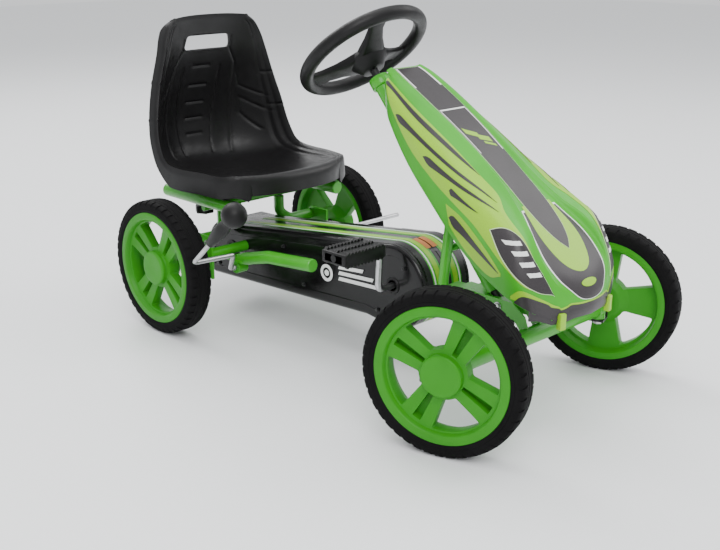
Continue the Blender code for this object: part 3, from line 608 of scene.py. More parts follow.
class KART_OT_finishes(bpy.types.Operator):
    """Make the paints, plastics, steels and inks"""
    bl_idname = "kart.finishes"
    bl_label = "Finishes"

    def execute(self, context):
        colours = context.scene.kart_colours
        green = tuple(colours.green)
        black = tuple(colours.black)
        powder_paint("kart_green_paint", green, 0.30)
        powder_paint("kart_black_steel", (0.014, 0.014, 0.015), 0.34)
        moulded_plastic("kart_green_plastic", green, 0.36, 520.0, 0.00025, 0.12, 0.0, 0.32)
        moulded_plastic("kart_rim_plastic", tuple(part * 0.62 for part in green), 0.38, 520.0, 0.00025, 0.12,
                        0.0, 0.20)
        moulded_plastic("kart_black_plastic", black, 0.40, 640.0, 0.0003, 0.2, 0.0, 0.26)
        moulded_plastic("kart_seat_plastic", tuple(part * 1.15 for part in black), 0.34, 560.0, 0.00035, 0.2,
                        0.0, 0.30)
        moulded_plastic("kart_case_plastic", black, 0.15, 300.0, 0.00012, 0.2, 0.0, 0.30)
        tyre_foam("kart_tyre_foam", tuple(part * 0.60 for part in black))
        worked_steel("kart_bright_steel", (0.56, 0.56, 0.57), 0.26, 0.25)
        worked_steel("kart_chain_steel", (0.17, 0.155, 0.14), 0.36, 0.6)
        printed_film("kart_lime_film", tuple(colours.lime), 0.10)
        printed_film("kart_grey_film", tuple(colours.grey), 0.22)
        printed_film("kart_white_film", tuple(colours.white), 0.04)
        printed_film("kart_pale_film", tuple((a + b) / 2 for a, b in zip(colours.lime, colours.white)), 0.05)
        printed_film("kart_orange_film", tuple(colours.orange), 0.10)
        printed_film("kart_green_film", green, 0.10)
        printed_film("kart_stripe_film", tuple(part * 1.6 for part in black), 0.55)
        return {"FINISHED"}


# ---------------------------------------------------------------- wheels
def tyre_profile():
    """Half of the tyre's section is drawn, tread first, and mirrored."""
    outer = [(TYRE_RADIUS, 0.0), (TYRE_RADIUS, 0.0040), (0.1316, 0.0048), (0.1316, 0.0060),
             (TYRE_RADIUS, 0.0068), (TYRE_RADIUS, 0.0108), (0.1308, 0.0124), (0.1294, 0.0190),
             (0.1264, 0.0222), (0.1225, 0.0234), (0.1175, 0.0238), (0.1168, 0.0233), (0.1160, 0.0238),
             (0.1135, 0.0236), (0.1115, 0.0230), (0.1100, 0.0222)]
    return [(r, -h) for r, h in outer[:0:-1]] + outer


def lug(gap, count):
    """One shoulder block of the tread, tapered towards the sidewall."""
    half = (math.tau * TYRE_RADIUS / count - gap) / 2
    rows = [(0.1240, 0.0120, 1.0), (0.1321, 0.0122, 1.0), (0.1319, 0.0150, 0.96), (0.1308, 0.0190, 0.88),
            (0.1282, 0.0222, 0.74), (0.1240, 0.0236, 0.58), (0.1225, 0.0230, 0.50)]
    return lofted([[(r, side * half * w, h) for r, h, w in rows] for side in (-1, 1)])


WINDOW_OUT, WINDOW_IN = 0.0902, 0.0400
SLOT_OUT, SLOT_IN = 0.0875, 0.0355
# How far each rim is turned about its axle at rest, in degrees.
RIM_TURNS = {("front", 1): -3, ("front", -1): 62, ("rear", 1): 30, ("rear", -1): 53}
HUB_CAP = [(0.0, 0.0232), (0.0150, 0.0234), (0.0270, 0.0238), (0.0300, 0.0237), (0.0322, 0.0230),
           (0.0334, 0.0217), (0.0339, 0.0196), (0.0339, 0.0163), (0.0, 0.0163)]


def rim_shape(bore, phase, steps):
    """The moulded rim: deep windows between four twin spokes, each with a sunk slot."""
    profile = [(bore, 0.0158), (0.0318, 0.0160), (0.0332, 0.0154), (0.0342, 0.0116), (0.0360, 0.0106),
               (0.0700, 0.0118), (0.0905, 0.0136), (0.0925, 0.0146), (0.0945, 0.0215), (0.0958, 0.0231),
               (0.0975, 0.0236), (0.1070, 0.0232), (0.1092, 0.0226), (0.1097, 0.0215),
               (0.1097, -0.0222), (0.0990, -0.0232), (0.0975, -0.0226), (0.0945, -0.0068), (0.0920, -0.0062),
               (0.0450, -0.0062), (0.0430, -0.0070), (0.0310, -0.0195), (0.0295, -0.0200), (bore, -0.0200)]
    rim = turned(profile, steps, closed=True)
    cutters = []
    for quarter in range(4):
        middle = phase + 90 * quarter
        window = [(x, y, 0) for x, y in arc(WINDOW_OUT, middle + 18.5, middle + 71.5, 12)
                  + arc(WINDOW_IN, middle + 60, middle + 30, 4)]
        cutters.append(plate([rounded(window, 0.0075, 4, True)], 0.08, 0.0001))
        lean = math.radians(middle)
        pocket = rounded([(SLOT_IN, 0.0042, 0), (SLOT_IN, -0.0042, 0), (SLOT_OUT, -0.0074, 0),
                          (SLOT_OUT, 0.0074, 0)], 0.0015, 2, True)
        cutters.append(moved(plate([pocket], 0.0300, 0.0001),
                             Matrix.Rotation(lean, 4, "Z") @ Matrix.Translation((0, 0, 0.0128))))
    rim = cut(rim, joined(*cutters))
    thing = temporary(rim)
    edge = thing.modifiers.new("moulded edges", "BEVEL")
    edge.width = 0.0014
    edge.segments = 2
    edge.limit_method = "ANGLE"
    edge.angle_limit = math.radians(48)
    edge.use_clamp_overlap = True
    return from_object(thing)


class KART_OT_wheels(bpy.types.Operator):
    """Make the four tyres with their lugs, the rims and the hub caps"""
    bl_idname = "kart.wheels"
    bl_label = "Wheels"

    def execute(self, context):
        wheels = context.scene.kart_wheels
        bodies = {("front", 1): "front_wheel_left", ("front", -1): "front_wheel_right",
                  ("rear", 1): "rear_wheel_left", ("rear", -1): "rear_axle"}
        for (end, side), body in bodies.items():
            label = f"{end}_wheel_{'left' if side > 0 else 'right'}"
            place = wheel_place(end, side)
            add_piece(f"{label}_foam_tyre", turned(tyre_profile(), wheels.steps, True), place,
                      "tyre_foam", body, [f"{label}_tyre"])
            for face, shift in (("outer", 0.0), ("inner", 0.5)):
                lugs = repeated(lug(wheels.lug_gap, wheels.lugs), ring_tree(),
                                {"Count": wheels.lugs, "Step": math.tau / wheels.lugs,
                                 "Finish": finish("tyre_foam")})
                lugs.transform(Matrix.Rotation(shift * math.tau / wheels.lugs, 4, "Z"))
                if face == "inner":
                    lugs.transform(Matrix.Rotation(math.pi, 4, "X"))
                add_piece(f"{label}_{face}_lugs", lugs, place, "tyre_foam", body, ())
            bore = 0.0065 if end == "front" else 0.0084
            add_piece(f"{label}_spoked_rim", rim_shape(bore, RIM_TURNS[end, side], wheels.steps), place,
                      "rim_plastic", body, [f"{label}_rim"], 40)
            add_piece(f"{label}_domed_cap", turned(HUB_CAP, 64), place, "rim_plastic", body,
                      [f"{label}_hub_cap"])
        return {"FINISHED"}


# ---------------------------------------------------------------- fairing
FAIRING = [
    # y, middle z, half width, side depth, crown, ridge x, ridge height, shoulder height
    (0.296, 0.534, 0.050, 0.055, 0.002, 0.036, 0.004, -0.004),
    (0.270, 0.512, 0.066, 0.062, 0.011, 0.040, 0.014, 0.001),
    (0.215, 0.470, 0.079, 0.080, 0.022, 0.041, 0.026, 0.004),
    (0.150, 0.422, 0.090, 0.088, 0.030, 0.040, 0.035, 0.010),
    (0.095, 0.384, 0.101, 0.092, 0.030, 0.039, 0.037, 0.012),
    (0.045, 0.348, 0.111, 0.086, 0.029, 0.042, 0.036, 0.018),
    (0.000, 0.316, 0.119, 0.074, 0.025, 0.054, 0.034, 0.024),
    (-0.040, 0.289, 0.123, 0.062, 0.018, 0.070, 0.034, 0.026),
    (-0.070, 0.268, 0.119, 0.050, 0.010, 0.078, 0.022, 0.014),
    (-0.094, 0.249, 0.104, 0.042, 0.004, 0.072, 0.008, 0.002),
    (-0.108, 0.230, 0.082, 0.032, 0.000, 0.056, -0.003, -0.006),
]


def fairing_section(station):
    """Half a section from the middle outwards: crown, ridge, shoulder, side and lower edge."""
    y, z, half, depth, crown, ridge, rise, shoulder = station
    bow = 0.26 * max(-0.03 - y, 0) / half ** 2
    return [Vector((x, along + bow * x * x, height)) for x, along, height in (
        (0, y, z + crown), (0.5 * ridge, y, z + crown), (ridge - 0.007, y, z + crown + 0.0005),
        (ridge, y, z + rise), (ridge + 0.010, y, z + rise - 0.004), (0.86 * half, y, z + shoulder),
        (half, y, z - 0.25 * depth), (0.97 * half, y, z - depth))]


FAIRING_ROWS = [fairing_section(station) for station in FAIRING]
FAIRING_ROWS.append([Vector((p.x * 0.92, p.y - 0.003, max(p.z - 0.022, 0.192))) for p in FAIRING_ROWS[-1]])
FAIRING_LAST = len(FAIRING_ROWS) - 1
FAIRING_EDGE = len(FAIRING_ROWS[0]) - 1


def fairing_point(station, place):
    """A point of the skin: station runs down the nose, place from -7 to 7 across it."""
    share = abs(place)
    row = [smooth_value([section[k] for section in FAIRING_ROWS], station)
           for k in range(FAIRING_EDGE + 1)]
    mirror = [Vector((-row[1].x, row[1].y, row[1].z))] + row
    point = smooth_value(mirror, share + 1)
    return Vector((math.copysign(point.x, place) if share > 1e-6 else 0.0, point.y, point.z))


def fairing_normal(station, place):
    step = 0.02
    down = fairing_point(min(station + step, FAIRING_LAST), place) - fairing_point(station - step, place)
    out = fairing_point(station, place + step) - fairing_point(station, place - step)
    return down.cross(out).normalized()


def sticker(outlines, lift):
    """Closed films that lie on the fairing; each outline is (station, place) points."""
    film = bmesh.new()
    for outline in outlines:
        flat = bmesh.new()
        flat.faces.new([flat.verts.new((s, c, 0)) for s, c in outline])
        bmesh.ops.triangulate(flat, faces=flat.faces[:])
        for axis, low, high, step in ((0, 0, FAIRING_LAST, 0.25), (1, -FAIRING_EDGE, FAIRING_EDGE, 0.125)):
            for cut_index in range(int((high - low) / step) + 1):
                at = low + cut_index * step
                co, no = ((at, 0, 0), (1, 0, 0)) if axis == 0 else ((0, at, 0), (0, 1, 0))
                bmesh.ops.bisect_plane(flat, geom=flat.verts[:] + flat.edges[:] + flat.faces[:],
                                       plane_co=co, plane_no=no, dist=1e-6)
        grown = bmesh.ops.extrude_face_region(flat, geom=flat.faces[:])
        for vertex in (item for item in grown["geom"] if isinstance(item, bmesh.types.BMVert)):
            vertex.co.z = 1
        for vertex in flat.verts:
            s, c, top = vertex.co
            s = min(max(s, 0.0), FAIRING_LAST)
            c = min(max(c, -FAIRING_EDGE), FAIRING_EDGE)
            vertex.co = fairing_point(s, c) + fairing_normal(s, c) * (lift if top > 0.5 else -0.0006)
        bmesh.ops.recalc_face_normals(flat, faces=flat.faces)
        film = joined(film, flat)
    return film


def level_point(station, place, across):
    """The point further across the skin that lies as high as the given one."""
    height = fairing_point(station, place).z
    low, high = station - 0.6, station + 1.4
    for _ in range(14):
        middle = (low + high) / 2
        if fairing_point(middle, place + across).z > height:
            low = middle
        else:
            high = middle
    return (low + high) / 2, place + across


def both_sides(outlines):
    return outlines + [[(s, -c) for s, c in outline] for outline in outlines]


def streak(route, width):
    """A tapered dark flash along a route: fullest near its root and drawn out to a point."""
    points = [Vector(point) for point in route]
    upper, lower = [], []
    for step in range(17):
        t = step / 16
        full = width * min(t / 0.10, 1) ** 0.8 * (1 - t) ** 0.75
        middle = smooth_value(points, t * (len(points) - 1))
        upper.append((middle.x, middle.y + full * 0.5))
        lower.append((middle.x, middle.y - full * 0.5))
    return upper + lower[-2:0:-1]


def leaf(left, right):
    """A closed outline from its two long sides, both listed from the top down and drawn smooth."""
    sides = []
    for side in (left, right):
        points = [Vector(point) for point in side]
        count = (len(points) - 1) * 5
        sides.append([tuple(smooth_value(points, i / 5)) for i in range(count + 1)])
    outline = sides[0] + sides[1][::-1]
    return [point for i, point in enumerate(outline)
            if (Vector(point) - Vector(outline[i - 1])).length > 1e-4]


def even_leaf(left):
    """An outline that is the same on both sides of the middle."""
    return leaf(left, [(s, -c) for s, c in left])


def nose_leaf(upper, lower):
    """A band right across the nose from its two edges, each listed from one side to the middle."""
    return leaf(*(half + [(s, -c) for s, c in half[-2::-1]] for half in (upper, lower)))


LIME_FIELD = leaf([(0.35, -5.3), (1.2, -4.75), (3.0, -4.5), (4.5, -4.4), (5.3, -4.3), (5.9, -4.5),
                   (6.6, -4.5), (7.6, -4.3), (8.6, -4.2), (9.4, -4.3)],
                  [(0.30, -5.7), (0.9, -6.2), (2.0, -6.45), (3.0, -6.35), (4.0, -6.15), (5.0, -5.95),
                   (5.7, -5.95), (6.6, -6.0), (7.6, -6.0), (8.6, -5.9), (9.4, -5.3)])
LIME_WING = leaf([(3.7, -6.42), (4.5, -6.2), (5.3, -6.15), (6.0, -6.2), (6.6, -6.35)],
                 [(3.85, -6.80), (4.5, -6.86), (5.3, -6.86), (6.0, -6.8), (6.6, -6.45)])
LIME_STREAKS = [
    streak([(0.35, -5.75), (1.3, -5.15), (2.8, -4.75), (4.5, -4.42)], 0.50),
    streak([(1.45, -6.20), (2.2, -5.80), (3.8, -5.10), (5.5, -4.55)], 0.34),
    streak([(2.65, -6.10), (3.4, -5.75), (4.6, -5.20), (5.8, -4.75)], 0.30),
    streak([(3.85, -5.95), (4.3, -5.78), (5.2, -5.45)], 0.26),
    streak([(3.85, -6.62), (4.6, -6.48), (5.6, -6.42), (6.5, -6.42)], 0.30),
]
STRIPE = even_leaf([(0.15, -1.95), (1.7, -1.95), (3.4, -1.85), (4.6, -1.62), (5.6, -1.22), (6.5, -0.76),
                    (7.2, -0.36), (7.65, 0.0)])
TONGUE = even_leaf([(5.8, -1.45), (6.8, -1.34), (7.7, -1.05), (8.4, -0.7), (8.72, -0.32), (8.8, 0.0)])
U_BAND = even_leaf([(6.0, -1.66), (7.0, -1.78), (8.0, -1.7), (9.0, -1.64), (9.8, -1.42), (10.2, -1.08),
                    (10.42, -0.6), (10.5, 0.0)])
LAMP = leaf([(5.85, -5.50), (6.4, -5.0), (7.1, -4.62), (7.8, -4.35), (8.5, -4.1), (9.1, -4.1),
             (9.6, -4.5)],
            [(5.85, -5.50), (6.5, -5.80), (7.2, -5.90), (8.0, -5.88), (8.7, -5.80), (9.3, -5.50),
             (9.6, -4.5)])
CHIN = nose_leaf([(7.5, -6.9), (8.2, -6.45), (9.0, -6.25), (9.8, -6.15), (10.3, -5.9), (10.46, -5.0),
                  (10.62, -3.0), (10.7, 0.0)],
                 [(7.5, -6.95), (9.0, -6.98), (10.4, -6.98), (10.98, -6.9), (10.98, 0.0)])
CHIN_LIME = nose_leaf([(7.2, -6.8), (8.1, -6.25), (9.0, -6.05), (9.8, -5.95), (10.18, -5.6), (10.33, -4.8),
                       (10.48, -3.0), (10.57, 0.0)],
                      [(7.2, -6.9), (9.0, -6.6), (10.4, -6.4), (10.8, -5.2), (10.85, 0.0)])


def grown(outline, by_station, by_place):
    """The outline pushed away from its own middle, for a border under it."""
    s_mid = sum(s for s, c in outline) / len(outline)
    c_mid = sum(c for s, c in outline) / len(outline)
    s_half = max(abs(s - s_mid) for s, c in outline)
    c_half = max(abs(c - c_mid) for s, c in outline)
    return [(s_mid + (s - s_mid) * (1 + by_station / s_half),
             c_mid + (c - c_mid) * (1 + by_place / c_half)) for s, c in outline]


class KART_OT_fairing(bpy.types.Operator):
    """Make the front fairing, its stickers and the nose bumper"""
    bl_idname = "kart.fairing"
    bl_label = "Fairing"

    def execute(self, context):
        settings = context.scene.kart_fairing
        film = settings.film
        skin = bmesh.new()
        fine_s, fine_c = 8, 6
        rows = [[skin.verts.new(fairing_point(i / fine_s, j / fine_c))
                 for j in range(-FAIRING_EDGE * fine_c, FAIRING_EDGE * fine_c + 1)]
                for i in range(FAIRING_LAST * fine_s + 1)]
        for one, two in zip(rows, rows[1:]):
            for j in range(len(one) - 1):
                skin.faces.new((one[j], two[j], two[j + 1], one[j + 1]))
        thing = temporary(skin)
        wall = thing.modifiers.new("wall", "SOLIDIFY")
        wall.thickness = settings.wall
        wall.offset = -1
        edge = thing.modifiers.new("soft edge", "BEVEL")
        edge.width = 0.0010
        edge.segments = 2
        edge.limit_method = "ANGLE"
        edge.angle_limit = math.radians(60)
        add_piece("fairing_skin", from_object(thing), KART, "green_plastic", "frame", ["fairing"],
                  40)

        bars = []
        for index in range(4):
            left, reach = 6.40 + index * 0.56, 0.62 + index * 0.14
            edge_up = [level_point(left, -5.42, reach * t / 4) for t in range(5)]
            edge_down = [level_point(left + 0.24, -5.42, reach * t / 4) for t in range(5)]
            bars.append(edge_up + edge_down[::-1])
        edges = [[(0.2, c - 0.14), (1.55, c - 0.14), (1.55, c + 0.14), (0.2, c + 0.14)]
                 for c in (-1.76, 1.76)]
        thin = [[(2.45, c - 0.07), (3.9, c * 0.93 - 0.07), (3.9, c * 0.93 + 0.07), (2.45, c + 0.07)]
                for c in (-1.72, 1.72)]
        cross = [[(2.40, -1.75), (2.40, 1.75), (2.44, 1.75), (2.44, -1.75)]]
        marks = [[(3.02, -1.15), (3.20, -1.15), (3.42, 0.10), (3.24, 0.10)],
                 [(3.28, -0.15), (3.46, -0.15), (3.62, 1.00), (3.44, 1.00)],
                 [(3.54, 0.05), (3.62, 0.05), (3.78, 1.10), (3.70, 1.10)]]
        badge = [(9.45 + 0.24 * math.cos(a), 0.55 * math.sin(a))
                 for a in (math.tau * i / 20 for i in range(20))]
        # Heights are in film thicknesses, and set which film shows where two of them cross.
        for name, outlines, height, look, slot in (
                ("lime_film", both_sides([LIME_FIELD, LIME_WING]) + [CHIN_LIME], 1.6, "lime", "green"),
                ("pale_border", [grown(STRIPE, 0.03, 0.06), *both_sides([grown(LAMP, 0.05, 0.06)])], 2.6,
                 "pale", "green"),
                ("nose_border", [grown(U_BAND, 0.07, 0.10)], 0.9, "white", "green"),
                ("nose_band", [U_BAND], 1.2, "grey", "black"),
                ("tongue", [TONGUE], 1.7, "lime", "green"),
                ("grey_film", both_sides(LIME_STREAKS + [LAMP]) + [STRIPE, CHIN], 3.2, "grey", "black"),
                ("white_film", both_sides(bars) + edges + thin + cross, 3.9, "white", "green"),
                ("lime_marks", marks + [badge], 3.9, "lime", "green")):
            add_piece(f"fairing_{name}", sticker(outlines, film * height), KART, f"{look}_film",
                      "frame", (), 60)

        add_piece("fairing_bumper", bumper_shape(), KART, "grey_film", "frame", (),
                  40)
        ribs = []
        for side in (-1, 1):
            low = fairing_point(FAIRING_LAST, side * 4.6)
            ribs.append(moved(block((-0.006, -0.0045, -0.021), (0.006, 0.006, 0.006), 0.002),
                              Matrix.Translation(low + Vector((0, -0.002, -0.002)))
                              @ Matrix.Rotation(side * math.radians(14), 4, "Z")))
        add_piece("fairing_bumper_ribs", joined(*ribs), KART, "lime_film", "frame", (),
                  40)
        return {"FINISHED"}


def bumper_shape():
    """The band that closes the nose, hung below the fairing's front edge."""
    route = [fairing_point(s, -6.75) for s in (8.6, 9.2, 9.8, 10.4, 11)]
    route += [fairing_point(11, c) for c in (-6, -5.2, -4.4, -3, -1.5, 0, 1.5, 3, 4.4, 5.2, 6)]
    route += [fairing_point(s, 6.75) for s in (11, 10.4, 9.8, 9.2, 8.6)]
    nose = min(point.y for point in route)
    loops = []
    for index, point in enumerate(route):
        before, after = route[max(index - 1, 0)], route[min(index + 1, len(route) - 1)]
        out = Vector((after.y - before.y, before.x - after.x, 0)).normalized()
        if out.dot(Vector((point.x, point.y + 0.05, 0))) < 0:
            out.negate()
        drop = 0.016
        top = Vector((point.x, max(point.y, nose), min(max(point.z, 0.203), 0.212)))
        loops.append([top + out * o + Vector((0, 0, h)) for o, h in
                      ((-0.004, 0.001), (-0.0005, 0.001), (0.0004, -drop * 0.5), (-0.002, -drop),
                       (-0.006, -drop))])
    return lofted(loops)


# ---------------------------------------------------------------- seat
SEAT = [
    # y, z, half width, how far the side edge stands forward and up
    (0.858, 0.591, 0.088, -0.010, -0.004), (0.862, 0.577, 0.106, -0.018, -0.004),
    (0.868, 0.552, 0.118, -0.028, -0.002), (0.878, 0.520, 0.127, -0.042, 0.000),
    (0.905, 0.460, 0.145, -0.072, 0.002), (0.925, 0.405, 0.159, -0.100, 0.006),
    (0.932, 0.355, 0.167, -0.116, 0.012), (0.922, 0.305, 0.171, -0.122, 0.028),
    (0.890, 0.278, 0.172, -0.106, 0.040), (0.830, 0.268, 0.172, -0.066, 0.044),
    (0.760, 0.268, 0.170, -0.030, 0.042), (0.690, 0.275, 0.164, -0.010, 0.036),
    (0.625, 0.290, 0.157, 0.006, 0.020), (0.585, 0.308, 0.138, 0.020, 0.004),
    (0.568, 0.304, 0.116, 0.024, -0.002), (0.566, 0.276, 0.110, 0.024, 0.0),
]
SEAT_LAST = len(SEAT) - 1
SEAT_SPREAD = 0.150
STAR_KNOB = (-0.078, 0.792)
GROOVE_REACH = 0.0032


def seat_point(station, share):
    """The seat's inner face: station from the top edge to the front, share from -1 to 1."""
    y, z, half, forward, up = (smooth_value([row[k] for row in SEAT], station) for k in range(5))
    wing = abs(share) ** 2.6
    return Vector((half * share, y + forward * wing, z + up * wing))


# Moulded lines of the seat as routes of (station, share); the far side is mirrored.
SEAT_LINES = [
    [(3.6, 0.34), (4.6, 0.31), (7.4, 0.21)],
    [(2.2, 0.50), (2.9, 0.47), (3.5, 0.57), (6.6, 0.50), (7.6, 0.44)],
    [(3.5, 0.57), (4.4, 0.63), (4.9, 0.90)],
    [(4.9, 0.63), (5.6, 0.90)],
    [(4.9, 0.63), (5.6, 0.62), (6.5, 0.80)],
    [(0.9, 0.885), (3.0, 0.885), (6.0, 0.885), (9.0, 0.885), (12.0, 0.885), (13.2, 0.84)],
    [(0.9, 0.955), (3.0, 0.955), (6.0, 0.955), (9.0, 0.955), (12.0, 0.955), (13.2, 0.93)],
    [(3.9, 0.90), (3.9, 0.99)],
    [(5.3, 0.90), (5.3, 0.99)],
]
SEAT_STEPS = [(3.55, 0.15), (4.25, 0.15), (4.95, 0.14), (5.65, 0.13), (6.35, 0.12)]


def line_distance(x, y, ends):
    """Distance from a point to a straight piece of a moulded line."""
    (ax, ay), (bx, by) = ends
    dx, dy = bx - ax, by - ay
    t = min(max(((x - ax) * dx + (y - ay) * dy) / (dx * dx + dy * dy), 0), 1)
    return math.hypot(x - ax - dx * t, y - ay - dy * t)


class KART_OT_seat(bpy.types.Operator):
    """Make the bucket seat with its moulded lines, hand hole and slide"""
    bl_idname = "kart.seat"
    bl_label = "Seat"

    def execute(self, context):
        settings = context.scene.kart_seat
        spine = [seat_point(s / 10, 0) for s in range(SEAT_LAST * 10 + 1)]
        run = [0.0]
        for before, after in zip(spine, spine[1:]):
            run.append(run[-1] + (after - before).length)

        def flat(station, share):
            """Metres along and across the unrolled seat."""
            return smooth_value(run, station * 10), SEAT_SPREAD * share

        pieces = []
        for line in SEAT_LINES:
            points = [flat(*point) for point in line]
            pieces += list(zip(points, points[1:]))
        for station, reach in SEAT_STEPS:
            pieces.append((flat(station, 0.0), flat(station, reach)))
        total = run[-1]
        rows_count, half_count = 230, 56
        stations, at = [], 0
        for i in range(rows_count + 1):
            goal = total * i / rows_count
            while at < len(run) - 2 and run[at + 1] < goal:
                at += 1
            stations.append((at + (goal - run[at]) / (run[at + 1] - run[at])) / 10)
        shell = bmesh.new()
        grid = []
        for i, station in enumerate(stations):
            along_seat = total * i / rows_count
            near = [piece for piece in pieces
                    if min(piece[0][0], piece[1][0]) - 0.01 < along_seat
                    < max(piece[0][0], piece[1][0]) + 0.01]
            row = []
            for j in range(-half_count, half_count + 1):
                share = j / half_count
                point = seat_point(station, share)
                reach = min((line_distance(along_seat, SEAT_SPREAD * abs(share), piece) for piece in near),
                            default=1.0)
                depth = settings.groove_depth * max(0.0, 1 - (reach / GROOVE_REACH) ** 2)
                if depth:
                    side = seat_point(station, share + 0.01) - seat_point(station, share - 0.01)
                    down = seat_point(station + 0.05, share) - seat_point(station - 0.05, share)
                    normal = down.cross(side).normalized()
                    point -= normal * depth if normal.dot(Vector((0, -1, 1))) > 0 else -normal * depth
                row.append(point)
            down_share = min(max((station - 5) / 4, 0), 1)
            skirt = 0.018 + 0.020 * down_share
            if station >= SEAT_LAST - 1:
                skirt = 0.038 + (0.001 - 0.038) * (station - SEAT_LAST + 1)
            skirt *= min(station / 1.4, 1.0)
            lip = Vector((0.0008, 0.0, 0.0))
            lip_row = []
            for t in (0.06, 0.25, 0.5, 0.75, 1.0):
                fall = Vector((0.0025 * t, skirt * t * (1 - down_share), -skirt * t * down_share))
                lip_row.append(row[-1] + lip * min(t * 8, 1) + fall)
            mirrored = [Vector((-p.x, p.y, p.z)) for p in lip_row[::-1]]
            full = mirrored + row + lip_row
            if i == 0:
                for back in (0.015, 0.009, 0.004, 0.0015):
                    turn_in = Vector((0, back, -back * 0.35 - 0.0008))
                    grid.append([shell.verts.new(p + turn_in) for p in full])
            grid.append([shell.verts.new(p) for p in full])
        for one, two in zip(grid, grid[1:]):
            for j in range(len(one) - 1):
                shell.faces.new((one[j], one[j + 1], two[j + 1], two[j]))
        thing = temporary(shell)
        wall = thing.modifiers.new("wall", "SOLIDIFY")
        wall.thickness = settings.wall
        wall.offset = -1
        solid = from_object(thing)
        hole = rounded([(-0.052, 0.552, 0), (-0.058, 0.523, 0), (0.058, 0.523, 0), (0.052, 0.552, 0)], 0.009,
                       5, True)
        cutter = moved(plate([hole], 0.09, 0.0001), Matrix.Translation((0, 0.872, 0))
                       @ Matrix.Rotation(math.pi / 2, 4, "X"))
        solid = cut(solid, cutter)
        add_piece("seat_bucket_shell", solid, KART, "seat_plastic", "seat", ["seat_shell"],
                  50)

        bead_line = rounded([(-0.0545, 0.5545, 0), (-0.0605, 0.5205, 0), (0.0605, 0.5205, 0),
                             (0.0545, 0.5545, 0)], 0.010, 5, True)
        route = []
        for point in bead_line:
            station = 2.0 + (0.552 - point.y) / 0.032
            face = seat_point(station, point.x / 0.122)
            route.append(Vector((point.x, face.y - 0.0012, point.y)))
        route.append(route[0])
        bead = tube(route, 0.0022, 0, 3)
        add_piece("seat_hand_hole_bead", bead, KART, "seat_plastic", "seat", (), 60)

        ribs = []
        for x in (-0.09, -0.045, 0.0, 0.045, 0.09):
            points = [(x, 0.62, 0.277), (x, 0.70, 0.262), (x, 0.80, 0.2575)]
            outline = [(y, z) for _, y, z in points] + [(0.80, 0.2515), (0.70, 0.2535), (0.62, 0.266)]
            ribs.append(moved(plate([outline], 0.003, 0.0003), across(x)))
        add_piece("seat_underside_ribs", joined(*ribs), KART, "seat_plastic", "seat", ())
        clamps = []
        for side in (-1, 1):
            for y in (0.655, 0.735, 0.805):
                clamps.append(moved(ball(0.0052, (0, 0, 0), 20, 0.45),
                                    Matrix.Translation((side * 0.130, y, 0.2694))))
        add_piece("seat_slide_rivets", joined(*clamps), KART, "bright_steel", "seat", ())
        dress("black_steel", "seat_slider_left", "seat_slider_right")

        lobes = []
        for lobe_index in range(6):
            turn = 60 * lobe_index
            lobes += [(x, y, 0) for x, y in arc(0.0052, turn - 62, turn + 62, 6,
                      (0.0146 * math.cos(math.radians(turn)), 0.0146 * math.sin(math.radians(turn))))]
        head = moved(plate([rounded(lobes, 0.0022, 3, True)], 0.016, 0.0022),
                     Matrix.Translation((*STAR_KNOB, 0.208)))
        collar = moved(turned([(0.0, 0.2225), (0.0070, 0.2225), (0.0092, 0.2160), (0.0098, 0.2150),
                               (0.0, 0.2150)], 32), Matrix.Translation((*STAR_KNOB, 0)))
        stem = tube([(*STAR_KNOB, 0.2155), (*STAR_KNOB, 0.2560)], 0.0050, 0)
        add_piece("seat_star_knob", joined(head, collar, stem), KART, "black_plastic", "seat_knob",
                  ["seat_knob"], 40)
        return {"FINISHED"}


